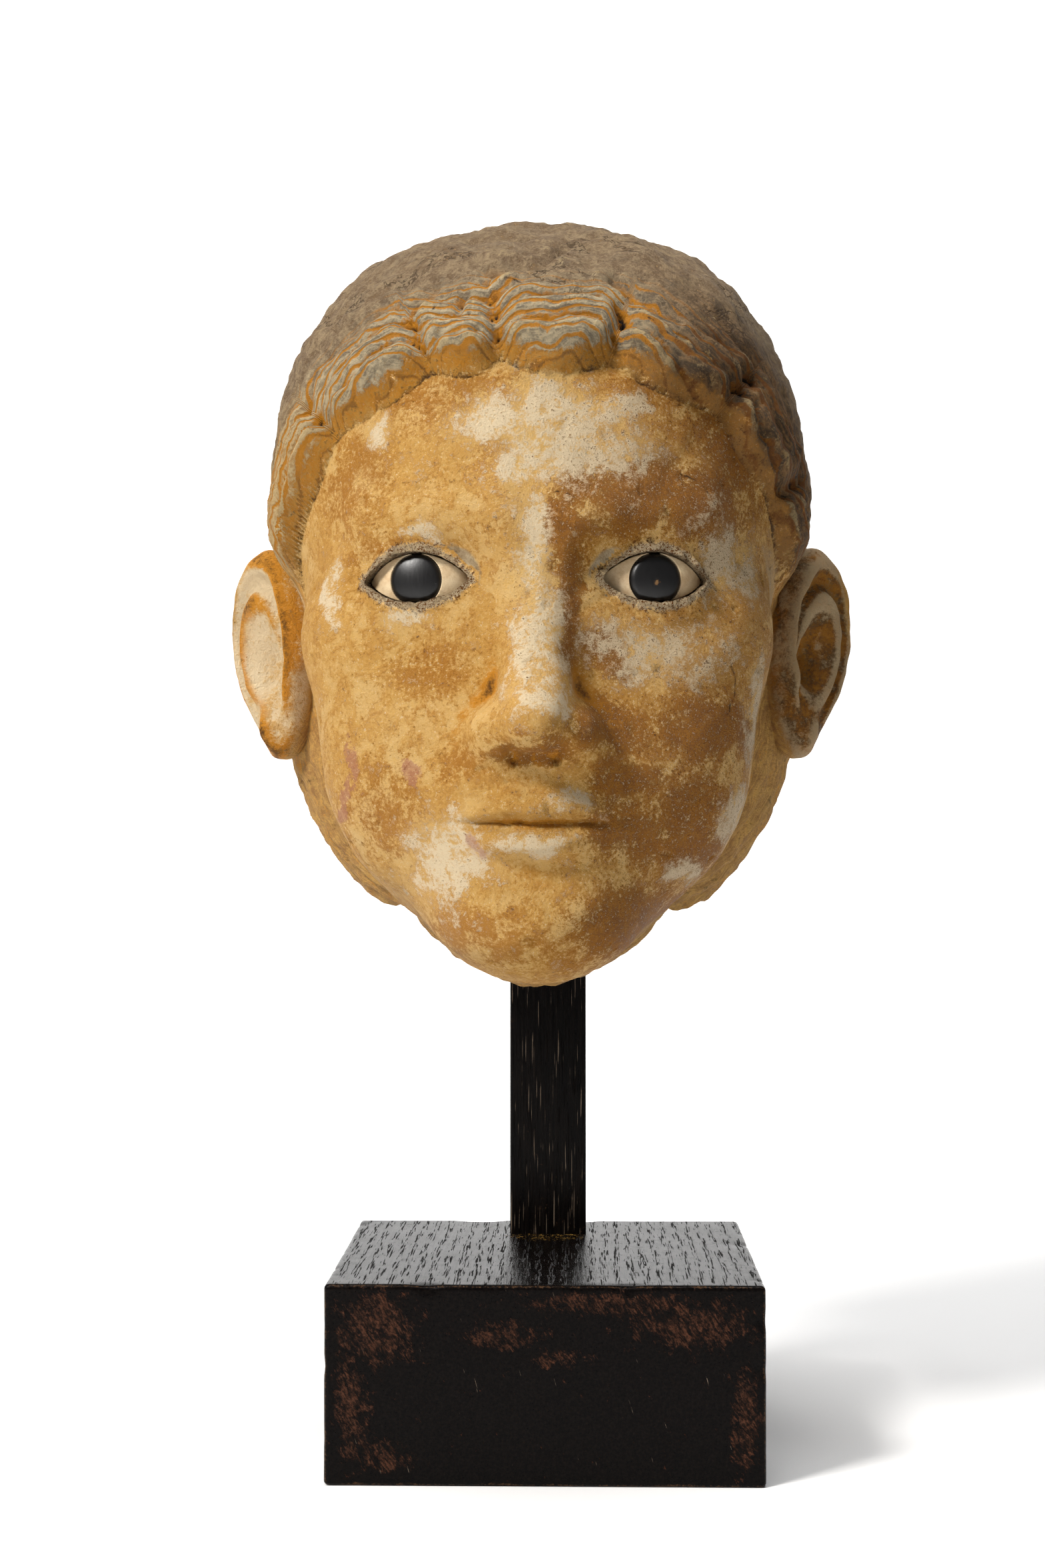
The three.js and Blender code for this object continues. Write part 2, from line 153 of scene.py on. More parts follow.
def with_nose(d, q):
    d = join(d, tapered_bar(q, (0, -67, 124), (0, -82, 84), 7, 9), 11)
    d = join(d, tapered_bar(q, (0, -82, 84), (0, -89.5, 77), 9, 9.5), 6)
    d = join(d, ellipsoid(q, (11.5, -79, 74), (7, 9.5, 7)), 6)
    return carve(d, ellipsoid(q, (6.6, -84, 65.5), (4.1, 8, 4.4)), 1.5)


def with_eyes(d, q):
    d = join(d, tapered_bar(q, (12, -69, 135), (46, -54, 138), 5, 4), 16)
    d = carve(d, ellipsoid(q, (31, -82, 121), (17, 17, 12)), 9)
    x, y, z = (q[i] - EYEBALL_CENTRE[i] for i in range(3))
    mound = length(x, y, z) - (EYEBALL_RADIUS + LID_THICKNESS)
    opening = ellipsoid(q, (30, -66, 119), (19, 16, 11.5))
    return join(d, np.maximum(mound, opening), 3)


CHEEKS_AND_CHIN = [
    ((46, -34, 103), (22, 22, 18), 20), ((32, -38, 66), (28, 25, 34), 20),
    ((0, -53, 54), (33, 26, 28), 18), ((0, -47, 23), (30, 31, 22), 16),
]


def with_mouth(d, q):
    to_corner = (q[0] / 22) ** 2
    bow = 1.6 * bell(q[0], 6.5, 4)
    for centre, radii, softness in CHEEKS_AND_CHIN:
        d = join(d, ellipsoid(q, centre, radii), softness)
    upper_lip = (0, -76 + 4.5 * to_corner, 52.6 + bow - 3 * to_corner)
    lower_lip = (0, -75 + 4.5 * to_corner, 42.4 + 3.5 * to_corner)
    parting = (0, -86 + 7 * to_corner, 47.7 + 0.8 * to_corner)
    d = join(d, ellipsoid(q, upper_lip, (24, 7.5, 5)), 4)
    d = join(d, ellipsoid(q, lower_lip, (21, 7.5, 5.8)), 4)
    d = carve(d, ellipsoid(q, parting, (25, 8, 1.3)), 2.5)
    d = carve(d, ellipsoid(q, (0, -87, 62), (3, 5, 6)), 4)
    return carve(d, ellipsoid(q, (0, -86, 32), (16, 8, 4)), 10)


def skin(p):
    q = (length(p[0], 3), p[1], p[2])
    return with_mouth(with_eyes(with_nose(main_form(p), q), q), q)


def out_from(ways, reach):
    return MIDDLE + ways * reach[:, None]


def reach_of(form, ways):
    """How far a form reaches along each direction from the head's middle, found from outside."""
    high = np.full(len(ways), SEEK_FROM)
    seeking = np.arange(len(ways))
    while len(seeking):
        outside = form(out_from(ways[seeking], high[seeking] - SEEK_STEP).T) > 0
        seeking = seeking[outside & (high[seeking] > 2 * SEEK_STEP)]
        high[seeking] -= SEEK_STEP
    low = high - SEEK_STEP
    for _ in range(SEEK_HALVINGS):
        half = (low + high) / 2
        outside = form(out_from(ways, half).T) > 0
        high = np.where(outside, half, high)
        low = np.where(outside, low, half)
    return (low + high) / 2


# Lines round the head: polar angle from the line of sight, over azimuth, both in degrees.
def mirrored(knots):
    return knots + [(180 - azimuth, polar) for azimuth, polar in knots[-2:0:-1]]


FACE_BORDER = mirrored([
    (-90, 57), (-75, 64), (-58, 75), (-42, 81), (-20, 82), (4, 80),
    (20, 75), (35, 63), (50, 56), (67, 50), (90, 46),
])
BACK_EDGE = mirrored([
    (-90, 84), (-73, 87), (-57, 101), (-43, 113), (-24, 118),
    (8, 119), (41, 117), (69, 116), (90, 115),
])
LOCK_ENDS = np.array([16, 34, 52, 75, 97, 111, 133, 162])
LOCK_DROP = 2.4
RIM_BREAK = 2.2
RIM_CHIPS = 2.2
HOLLOW_UNEVEN = 1.2
HAIR_RISE = 7
HAIR_ROLL = 6
FRINGE = 28
NAPE_TRESS = 6.0

# Each lock's tresses, from the viewer's right to left: their width in head parts, how many of them
# the lock slants and sags by over its own width, and how many fine strands each is combed into.
TRESS_WIDTH = np.array([8.5, 9.0, 8.4, 7.8, 7.4, 8.0, 9.0])
TRESS_SLANT = np.array([0.9, -0.8, -1.5, 0.3, -0.4, 0.7, 0.6])
TRESS_SAG = np.array([0.3, 0.5, 0.4, -0.5, 0.1, -0.3, 0.3])
STRANDS = np.array([2, 2, 2, 3, 3, 3, 3])


def closed_curve(knots, azimuth):
    angles = np.array([a + turn for turn in (-360, 0, 360) for a, _ in knots])
    values = np.array([b for _ in range(3) for _, b in knots])
    slopes = np.zeros(len(values))
    slopes[1:-1] = (values[2:] - values[:-2]) / (angles[2:] - angles[:-2])
    i = np.searchsorted(angles, azimuth, side="right") - 1
    span = angles[i + 1] - angles[i]
    t = (azimuth - angles[i]) / span
    start = (2 * t**3 - 3 * t**2 + 1) * values[i] + (t**3 - 2 * t**2 + t) * slopes[i] * span
    end = (3 * t**2 - 2 * t**3) * values[i + 1] + (t**3 - t**2) * slopes[i + 1] * span
    return start + end


def lock_at(azimuth):
    """The nearest lock's number, how far across it a point is, and how far from its parting."""
    number = np.searchsorted(LOCK_ENDS, azimuth, side="right") - 1
    number = np.clip(number, 0, len(LOCK_ENDS) - 2)
    width = LOCK_ENDS[number + 1] - LOCK_ENDS[number]
    across = np.clip((azimuth - LOCK_ENDS[number]) / width, 0, 1)
    return number, across, np.minimum(across, 1 - across) * width


def border_at(azimuth):
    _, across, _ = lock_at(azimuth)
    return closed_curve(FACE_BORDER, azimuth) - LOCK_DROP * np.sin(np.pi * across)


def edge_at(azimuth):
    a = np.radians(azimuth)
    wander = 0.5 * np.sin(5 * a + 1) + 0.3 * np.sin(11 * a) + 0.2 * np.sin(19 * a + 2)
    return closed_curve(BACK_EDGE, azimuth) + RIM_BREAK * wander


def covered_at(azimuth):
    return ramp(12, 26, azimuth) * ramp(168, 154, azimuth)


def hair_bulk(azimuth, inward):
    roll = np.sqrt(1 - (1 - np.clip(inward / HAIR_ROLL, 0, 1)) ** 2)
    covered = covered_at(azimuth)
    nape_hair = 0.6 * (1 - covered) * ramp(10, 30, inward)
    return HAIR_RISE * np.maximum(covered * roll, nape_hair)


def tress_course(azimuth, inward, points):
    """Which tress a point lies in, as a running number, and how wide its tresses are."""
    number, across, from_parting = lock_at(azimuth)
    combed = covered_at(azimuth) > 0.02
    width = np.where(combed, TRESS_WIDTH[number], NAPE_TRESS)
    slant = np.where(combed, TRESS_SLANT[number] * (across - 0.5), 0)
    sag = np.where(combed, TRESS_SAG[number] * np.sin(np.pi * across), 0)
    wobble = bumps(points, (3.0, 17, 1), (1.5, 6.5, 2))
    curl = np.where(combed, 0.5 * bell(from_parting, 0, 2.6), 0)
    return (inward + wobble) / width + slant + sag + curl, width


def crack_gap(points, cracks):
    """How far each point lies from the nearest crack, as seen from the front, in head parts."""
    wander = np.stack([bumps(points, (1, 4, 60)), bumps(points, (1, 4, 61))], axis=1)
    seen = points[:, [0, 2]] + 0.9 * wander
    gap = np.full(len(points), 20.0)
    for x0, z0, x1, z1 in cracks:
        start, along = np.array([x0, z0]), np.array([x1 - x0, z1 - z0])
        t = np.clip((seen - start) @ along / (along @ along), 0, 1)
        gap = np.minimum(gap, np.linalg.norm(seen - start - t[:, None] * along, axis=1))
    return np.where(points[:, 1] < 20, gap, 20)


CROWN_CRACKS = [
    (-14, 205, -8, 208), (-8, 208, -2, 206), (-2, 206, 5, 212), (5, 212, 9, 218),
    (22, 203, 30, 198), (-34, 196, -28, 200), (30, 198, 40, 190), (-22, 190, -19, 197),
]
FACE_CRACKS = [(5, 143, 11, 141.5), (57, 96, 59, 88), (59, 88, 56, 80), (41, 150, 47, 148)]


def hair_relief(azimuth, inward, points):
    """Height of the hair over the skull: locks along the face, a worn lumpy crown, ridged nape."""
    covered = covered_at(azimuth)

    # The locks along the face, each of combed tresses and parted from the next.
    _, across, from_parting = lock_at(azimuth)
    fringe = ramp(-0.5, 3.0, inward) * ramp(FRINGE + 10, FRINGE - 8, inward)
    course, tress_width = tress_course(azimuth, inward, points)
    ridge = np.abs(np.sin(course * np.pi))
    worn = ramp(0.1, 0.7, bumps(points, (1, 18, 3)))
    tresses = 0.42 * tress_width * (ridge ** 0.7 - 0.7) * (1 - 0.5 * worn)
    parting = 3.2 * bell(from_parting, 0, 1.9) * ramp(26, 12, inward)
    swell = 1.8 * np.sqrt(np.sin(np.pi * across).clip(0, 1)) * ramp(30, 8, inward)

    # The worn crown behind them, with a low shoulder on each side.
    crown = covered * ramp(FRINGE - 6, FRINGE + 12, inward)
    lumps = bumps(points, (3.0, 32, 4), (1.9, 13, 5))
    course_over = points[:, 0] / 6 + bumps(points, (2.4, 26, 14))
    waves = 0.7 * np.abs(np.sin(course_over)) ** 0.8
    crumble = bumps(points, (0.8, 5, 6), (0.55, 2.4, 7))
    pitted = ramp(-0.3, 0.4, bumps(points, (1, 38, 17)))
    pits = -1.9 * pitted * ramp(0.36, 0.55, bumps(points, (1, 6.5, 8)))
    shoulders = 3.4 * bell(azimuth, 64, 13) + 3.8 * bell(azimuth, 117, 12)
    shoulders -= 1.2 * bell(azimuth, 90, 9)

    # Wear and cracks over both, and the ridges of the nape.
    coat = covered * ramp(0, 3, inward)
    cracks = -3.0 * bell(crack_gap(points, CROWN_CRACKS), 0, 1.5)
    nape = (1 - covered) * ramp(12, 22, inward)
    ridges = 1.4 * ridge + bumps(points, (0.9, 4, 9))
    return (
        hair_bulk(azimuth, inward)
        + covered * fringe * (tresses + swell - parting)
        + crown * (lumps + waves + pits + shoulders)
        + coat * (crumble + cracks)
        + nape * ridges
    )


def lid_heights(x):
    """Height of the upper and lower lid's edge over the line between the eye's corners."""
    arch = np.clip(1 - (x / (EYE_WIDTH / 2)) ** 2, 0, 1) ** 0.85
    return EYE_UPPER_LID * arch, EYE_LOWER_LID * arch


def eye_gap(points):
    """How far each point lies outside the nearer eye's opening, negative inside it."""
    x = np.abs(points[:, 0]) - EYEBALL_CENTRE[0]
    y, z = (points[:, i] - EYEBALL_CENTRE[i] for i in (1, 2))
    turn = math.radians(EYE_TURN)
    x, y = x * math.cos(turn) + y * math.sin(turn), y * math.cos(turn) - x * math.sin(turn)
    upper, lower = lid_heights(x)
    over = np.where(z > 0, z - upper, -z - lower)
    beyond = length(np.maximum(np.abs(x) - EYE_WIDTH / 2, 0), np.maximum(over, 0))
    return np.where((over < 0) & (y < 0), over, np.where(y < 0, beyond, 30))


def directions(azimuth, polar):
    a, b = np.radians(azimuth), np.radians(polar)
    return np.stack([np.sin(b) * np.cos(a), -np.cos(b), np.sin(b) * np.sin(a)], axis=1)


def azimuth_of(offsets):
    return (np.degrees(np.arctan2(offsets[:, 2], offsets[:, 0])) + 90) % 360 - 90


def placed(points):
    """Head parts to metres in the part's frame."""
    return HEAD_ZERO + points * PART


def in_head_parts(places):
    return (places - HEAD_ZERO) / PART


def outer_skin(azimuth, polar):
    ways = directions(azimuth, polar)
    reach = reach_of(skin, ways)
    inward = np.maximum(0, np.radians(polar - border_at(azimuth)) * reach)
    smooth_points = out_from(ways, reach)
    on_face = 1 - ramp(0, 3, inward)
    uneven = bumps(smooth_points, (0.55, 17, 10), (0.28, 6, 11))
    pits = -0.7 * ramp(0.5, 0.65, bumps(smooth_points, (1, 4.2, 15)))
    crumbs = 0.5 + bumps(smooth_points, (1.8, 2.8, 16))
    crust = 1.3 * bell(eye_gap(smooth_points), 1.2, 1.1) * crumbs
    hair = hair_relief(azimuth, inward, smooth_points)
    return ways, reach + hair + on_face * (uneven + pits + crust)


def shell_points(ball):
    """Sends the points of a unit ball to the shell: outer skin, broken rim, then the hollow."""
    azimuth = azimuth_of(ball)
    turn = np.arccos(np.clip(-ball[:, 1], -1, 1))
    edge = edge_at(azimuth)
    outer = turn < OUTER_SHARE
    inner = turn > RIM_SHARE
    rim = ~outer & ~inner
    polar = np.where(outer, edge * turn / OUTER_SHARE, edge)
    polar = np.where(inner, edge * (np.pi - turn) / (np.pi - RIM_SHARE), polar)
    across_rim = np.where(rim, (turn - OUTER_SHARE) / (RIM_SHARE - OUTER_SHARE), 0)

    points = np.zeros_like(ball)
    skinned = outer | rim
    ways, reach = outer_skin(azimuth[skinned], polar[skinned])
    hollow_reach = reach_of(main_form, ways) - WALL
    share = across_rim[skinned]
    chips = RIM_CHIPS * bumps(out_from(ways, reach), (1, 7, 12)) * np.sin(np.pi * share)
    reach = reach * (1 - share) + hollow_reach * share
    points[skinned] = out_from(ways, reach) + np.array([0, 1, 0]) * chips[:, None]

    ways = directions(azimuth[inner], polar[inner])
    reach = reach_of(main_form, ways) - WALL
    pressed = np.abs(bumps(out_from(ways, reach), (1, 14, 13)))
    points[inner] = out_from(ways, reach + HOLLOW_UNEVEN * pressed)
    return points


# Helpers for pieces.
def coordinates(bm):
    return np.array([v.co for v in bm.verts])


def move_to(bm, points):
    for vert, point in zip(bm.verts, points):
        vert.co = point


def new_piece(name, bm, slot=None, replaces=()):
    mesh = bpy.data.meshes.new(name)
    bm.to_mesh(mesh)
    bm.free()
    piece = bpy.data.objects.new(name, mesh)
    bpy.context.scene.collection.objects.link(piece)
    mesh.polygons.foreach_set("use_smooth", [True] * len(mesh.polygons))
    if slot:
        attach(piece, "root")
    if replaces:
        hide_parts(*replaces)
    return piece


def combined(piece, other, operation):
    """Joins or cuts one piece with another by a boolean on its mesh, and drops the other."""
    tool = piece.modifiers.new(operation, "BOOLEAN")
    tool.operation = operation
    tool.object = other
    tool.solver = "MANIFOLD"
    graph = bpy.context.evaluated_depsgraph_get()
    made = bpy.data.meshes.new_from_object(piece.evaluated_get(graph))
    piece.modifiers.clear()
    old = piece.data
    piece.data = made
    bpy.data.meshes.remove(old)
    bpy.data.objects.remove(other)


def mask_shell():
    bm = bmesh.new()
    bmesh.ops.create_cube(bm, size=2)
    bmesh.ops.subdivide_edges(bm, edges=bm.edges[:], cuts=SHELL_CELLS - 1, use_grid_fill=True)
    cube = np.tan(coordinates(bm) * math.pi / 4)
    ball = cube / np.linalg.norm(cube, axis=1)[:, None]
    move_to(bm, placed(shell_points(ball)))
    return new_piece("plaster_mask", bm, "patinated_plaster", ["mask"])


# The ears, each a ball drawn out to an ear with its carving on the outer face.
EAR_HEIGHT = 70
EAR_WIDTH = 36
EAR_CENTRE = (85.5, 27, 105)
EAR_FLARE = math.radians(42)
EAR_LEAN = math.radians(7)
EAR_THICKNESS = 8
EAR_ROOT = 12


def ear_relief(side, forward, up):
    """The rolled rim, inner fold, bowl and lobe. The left ear is the more worn."""
    out = length(forward, up)
    upper = ramp(-0.75, -0.2, up)
    worn = side < 0
    rim = (3.4 if worn else 4.0) * bell(out, 0.84, 0.12) * upper
    channel = -2.4 * bell(out, 0.66, 0.1) * upper
    fold = 3.0 * bell(out, 0.48, 0.12) * upper * ramp(0.7, -0.1, forward)
    bowl = -(7 if worn else 9) * bell(length(forward - 0.2, up + 0.1), 0, 0.28)
    lobe = (4.8 if worn else 3.6) * bell(length(forward - 0.05, (up + 0.74) * 1.1), 0, 0.26)
    return rim + channel + fold + bowl + lobe


def ear(side):
    bm = bmesh.new()
    bmesh.ops.create_uvsphere(bm, u_segments=80, v_segments=52, radius=1)
    x, up, outward = coordinates(bm).T
    forward = -x
    narrowing = 1 - 0.22 * ramp(0.3, -0.7, up)
    across = forward * narrowing * EAR_WIDTH / 2
    height = up * EAR_HEIGHT / 2
    cap = np.sqrt(np.clip(1 - forward**2 - up**2, 0, 1))
    carved = EAR_THICKNESS * np.sqrt(cap) + ear_relief(side, forward, up) * cap**0.25
    fill = np.where(outward > 0, carved, -EAR_ROOT * cap)
    lean_across = across * math.cos(EAR_LEAN) - height * math.sin(EAR_LEAN)
    lean_up = across * math.sin(EAR_LEAN) + height * math.cos(EAR_LEAN)
    points = np.stack([
        side * (EAR_CENTRE[0] + fill * math.cos(EAR_FLARE) - lean_across * math.sin(EAR_FLARE)),
        EAR_CENTRE[1] - fill * math.sin(EAR_FLARE) - lean_across * math.cos(EAR_FLARE),
        EAR_CENTRE[2] + lean_up,
    ], axis=1)
    worn = bumps(points, (0.9, 11, 20), (0.5, 4.5, 21))
    points[:, 0] += side * worn * (outward > 0)
    points[:, 2] += bumps(points, (0.6, 9, 22))
    move_to(bm, placed(points))
    bmesh.ops.recalc_face_normals(bm, faces=bm.faces[:])
    return new_piece("ear", bm)


# The eye's almond, in the eye's own plane: x across, z up, out of the eye towards -Y.
def eye_matrix(side):
    centre = Vector(placed(np.array([side * EYEBALL_CENTRE[0], *EYEBALL_CENTRE[1:]])))
    turn = Matrix.Rotation(math.radians(side * EYE_TURN), 4, "Z")
    return Matrix.Translation(centre) @ turn @ Matrix.Scale(PART, 4)


def almond_slab(grow, front, back, cells, crumble=0.0):
    """A slab with the eye's outline. front gives its front's depth from x and z."""
    bm = bmesh.new()
    bmesh.ops.create_grid(bm, x_segments=cells, y_segments=cells // 2, size=1)
    s, t, _ = coordinates(bm).T
    x = (EYE_WIDTH / 2 + grow * CORNER_GROWTH) * np.sin(s * np.pi / 2)
    upper, lower = lid_heights(x / (1 + grow * 2 * CORNER_GROWTH / EYE_WIDTH))
    z = np.where(t > 0, t * (upper + grow), t * (lower + grow))
    edge = np.stack([x, z * 0, z], axis=1)
    z += crumble * np.abs(t) ** 6 * bumps(edge, (1, 1.7, 30)) * ramp(1, 0.9, np.abs(s))
    move_to(bm, np.stack([x, front(x, z), z], axis=1))
    grown = bmesh.ops.extrude_face_region(bm, geom=bm.faces[:])
    for part in grown["geom"]:
        if isinstance(part, bmesh.types.BMVert):
            part.co.y = back
    bmesh.ops.remove_doubles(bm, verts=bm.verts[:], dist=1e-4)
    bmesh.ops.recalc_face_normals(bm, faces=bm.faces[:])
    return bm


def on_eyeball(x, z):
    return -np.sqrt(np.clip(EYEBALL_RADIUS**2 - x**2 - z**2, 1, None))


def eye_pocket(side):
    back = -(EYEBALL_RADIUS - WHITE_THICKNESS - INLAY_GAP)
    bm = almond_slab(
        INLAY_GAP, lambda x, z: x * 0 - EYEBALL_RADIUS - POCKET_REACH, back, POCKET_CELLS,
        crumble=POCKET_CRUMBLE,
    )
    bm.transform(eye_matrix(side))
    return new_piece("eye_pocket", bm)


def eye_white(side, word):
    back = -(EYEBALL_RADIUS - WHITE_THICKNESS)
    bm = almond_slab(0, on_eyeball, back, WHITE_CELLS)
    bm.transform(eye_matrix(side))
    piece = new_piece(f"inlay_white_{word}", bm, "white_stone", [f"eye_white_{word}"])
    seat = bmesh.new()
    bmesh.ops.create_cone(
        seat, cap_ends=True, segments=64, radius1=IRIS_RADIUS + INLAY_GAP,
        radius2=IRIS_RADIUS + INLAY_GAP, depth=SEAT_DEPTH,
    )
    bmesh.ops.rotate(seat, verts=seat.verts[:], matrix=Matrix.Rotation(math.pi / 2, 3, "X"))
    seat_back = -(EYEBALL_RADIUS - IRIS_THICKNESS - INLAY_GAP)
    bmesh.ops.translate(seat, verts=seat.verts[:], vec=(0, seat_back - SEAT_DEPTH / 2, 0))
    seat.transform(eye_matrix(side))
    combined(piece, new_piece("iris_seat", seat), "DIFFERENCE")
    return piece


def iris(side, word):
    """A disc with worn edges, cut off above and below where the lids cross it."""
    bm = bmesh.new()
    bmesh.ops.create_uvsphere(bm, u_segments=72, v_segments=40, radius=1)
    a, b, outward = coordinates(bm).T
    spread = length(a, b)
    turn = np.arccos(np.clip(outward, -1, 1))
    full = np.clip(np.minimum(turn, np.pi - turn) / IRIS_FACE, 0, 1)
    x = a / np.maximum(spread, 1e-6) * full * IRIS_RADIUS
    z = b / np.maximum(spread, 1e-6) * full * IRIS_RADIUS
    upper, lower = lid_heights(x)
    half_height = np.sqrt(np.clip(IRIS_RADIUS**2 - x**2, 1e-6, None))
    z *= np.minimum(1, (np.where(z > 0, upper, lower) - LID_OVERLAP) / half_height)
    front = on_eyeball(x, z) - IRIS_PROUD + IRIS_EDGE_WEAR * ramp(0.86, 1.0, full)
    back = -(EYEBALL_RADIUS - IRIS_THICKNESS)
    sunk = np.clip((turn - IRIS_FACE) / (np.pi - 2 * IRIS_FACE), 0, 1)
    move_to(bm, np.stack([x, front * (1 - sunk) + back * sunk, z], axis=1))
    bmesh.ops.recalc_face_normals(bm, faces=bm.faces[:])
    bm.transform(eye_matrix(side))
    piece = new_piece(f"inlay_iris_{word}", bm, "black_glass", [f"iris_{word}"])
    piece.data.set_sharp_from_angle(angle=math.radians(50))
    return piece


# How often the mesh is smoothed to find its grooves and its hollows.
GROOVE_ROUNDS, HOLLOW_ROUNDS = 3, 26


def neighbour_mean(values, edges, count):
    """The mean of the values at the vertices next to each."""
    total = np.stack([
        np.bincount(edges[:, 0], values[edges[:, 1], i], count)
        + np.bincount(edges[:, 1], values[edges[:, 0], i], count)
        for i in range(values.shape[1])
    ], axis=1)
    degree = np.bincount(edges.ravel(), minlength=count)
    return total / np.maximum(degree, 1)[:, None]


def read(data, name, width, kind=float):
    values = np.empty(len(data) * width, kind)
    data.foreach_get(name, values)
    return values.reshape(-1, width)


def hollows_of(mesh, rounds):
    """How far each vertex lies under its smoothed surroundings, in millimetres."""
    count = len(mesh.vertices)
    places = read(mesh.vertices, "co", 3)
    edges = read(mesh.edges, "vertices", 2, int)
    eased = places
    for _ in range(rounds):
        eased = neighbour_mean(eased, edges, count)
    depth = np.sum((eased - places) * read(mesh.vertices, "normal", 3), axis=1) / MM
    for _ in range(2):
        depth = neighbour_mean(depth[:, None], edges, count)[:, 0]
    return places, depth


def set_marks(mesh, marks):
    """Gives each vertex a number for each mark, for the finishes to go by."""
    for name, values in marks.items():
        made = mesh.attributes.new(name, "FLOAT", "POINT")
        made.data.foreach_set("value", np.asarray(values, dtype=np.float32))


def patches(points, spots):
    """Soft spots with wandering outlines, each (x, z, half width, half height) in head parts."""
    seen_x = points[:, 0] + bumps(points, (5, 13, 70), (2.2, 5, 73))
    seen_z = points[:, 2] + bumps(points, (5, 13, 71), (2.2, 5, 74))
    total = np.zeros(len(points))
    for x, z, wide, high in spots:
        away = length((seen_x - x) / wide, (seen_z - z) / high)
        total = np.maximum(total, 1 - ramp(0.1, 1.8, away))
    return total


WORN_WHITE = [
    (8, 155, 27, 12), (6, 183, 14, 4), (3, 172, 9, 5), (0, 128, 6, 18), (1, 98, 9, 20),
    (2, 84, 11, 7), (34, 98, 20, 10), (55, 126, 10, 14), (64, 84, 4, 16), (60, 50, 5, 10),
    (44, 34, 5, 6), (-48, 164, 4, 5), (-24, 38, 13, 15), (0, 41, 12, 4), (12, 54, 7, 3),
    (-38, 106, 6, 4), (-60, 118, 3, 12), (-32, 134, 8, 3), (24, 168, 10, 5), (-6, 150, 10, 6),
    (-12, 162, 13, 9), (6, 166, 16, 8),
]
# Dark brown patches, nearly all on the viewer's right: along the nose's right flank and under the
# nose, under the right eye, and on the right brow, forehead, cheek, jaw and chin.
DARK_PATCHES = [
    (28, 144, 24, 12), (9, 134, 7, 12), (52, 140, 14, 13), (11, 110, 6, 20), (22, 97, 9, 7),
    (22, 76, 14, 7), (50, 76, 15, 12), (28, 20, 18, 12), (46, 46, 14, 18), (26, 62, 10, 7),
    (60, 162, 12, 14), (0, 69, 11, 4), (26, 46, 12, 9),
]
FAINT_STAIN = [
    (-28, 172, 30, 10), (-54, 150, 12, 18), (-44, 52, 14, 15), (-18, 18, 22, 9), (36, 172, 24, 10),
    (-30, 92, 13, 8), (12, 12, 34, 8), (-12, 152, 10, 8), (-44, 128, 16, 6), (-20, 66, 10, 6),
]
PINK_STAIN = [(-53, 66, 3, 9), (-57, 54, 2, 9), (-16, 40, 3, 4), (-36, 62, 3, 3)]
CHIPPED_EAR = [(-101, 124, 9, 22), (-98, 98, 8, 12)]


def paint_masks(mesh):
    """Marks on the plaster where each finish lies: hair, grooves, hollows and stains."""
    places, fine = hollows_of(mesh, GROOVE_ROUNDS)
    _, broad = hollows_of(mesh, HOLLOW_ROUNDS)
    points = in_head_parts(places)
    offsets = points - MIDDLE
    azimuth = azimuth_of(offsets)
    reach = np.linalg.norm(offsets, axis=1)
    polar = np.degrees(np.arccos(np.clip(-offsets[:, 1] / reach, -1, 1)))
    inward = np.radians(polar - border_at(azimuth)) * reach
    covered = covered_at(azimuth)
    form = main_form(points.T)
    inside = ramp(-8.5, -11, form)
    broken = ramp(-1, -4, form) * (1 - inside) * (eye_gap(points) > 4)
    ear_zone = ellipsoid(
        (np.abs(points[:, 0]), points[:, 1], points[:, 2]), (88, 24, 105), (16, 24, 38)
    )
    ear = ramp(2, -4, ear_zone)
    off_ear = 1 - ear
    front = ramp(30, 0, points[:, 1])
    course, _ = tress_course(azimuth, inward, points)
    strands = np.where(covered > 0.02, STRANDS[lock_at(azimuth)[0]], 2)
    # The stretch of the hairline beside each ear.
    beside = ramp(-70, -50, azimuth) * ramp(40, 15, azimuth)
    beside += ramp(250, 230, azimuth) * ramp(140, 165, azimuth)
    set_marks(mesh, {
        "inward": inward / 10,
        "along": azimuth / 10,
        "course": course,
        "strand": course * strands,
        "hair": covered * ramp(0.2, 3.6, inward) * off_ear,
        "roll": covered * ramp(-1.8, 0.3, inward) * ramp(6.5, 2.5, inward) * off_ear,
        "fringe": covered * ramp(FRINGE + 8, FRINGE - 12, inward),
        "left_hair": ramp(122, 148, azimuth) * ramp(FRINGE + 8, FRINGE - 10, inward),
        "right_hair": ramp(80, 58, azimuth) * ramp(FRINGE + 24, FRINGE - 4, inward),
        "nape": (1 - covered) * ramp(10, 15, inward) * off_ear,
        "ear_groove": beside * ramp(-1, 3, inward) * ramp(16, 9, inward) * (1 - ear * 0.7),
        "cheek_band": beside * ramp(-19, -11, inward) * ramp(3, -1, inward),
        # Rises towards the viewer's right, where the colours are made darker, browner and greyer:
        # partly staining, partly painted shade.
        "right_side_stain_and_shade": ramp(-20, 50, points[:, 0]),
        "groove": fine * 2.5,
        "hollow": broad * 0.6,
        "ear": ear,
        "inside": inside,
        "broken": broken,
        "crust": bell(eye_gap(points), 1.1, 2.2) * front,
        # A dark line along the lids' edge: painted shadow of the gap round the inlays.
        "lid_gap_shadow": bell(eye_gap(points), 0, 0.8) * front,
        "crack": np.minimum(crack_gap(points, FACE_CRACKS), crack_gap(points, CROWN_CRACKS)),
        "white": np.maximum(patches(points, WORN_WHITE) * front, patches(points, CHIPPED_EAR)),
        "dark_patch": patches(points, DARK_PATCHES) * front,
        "faint_stain": patches(points, FAINT_STAIN) * front,
        "pink": patches(points, PINK_STAIN) * front,
    })


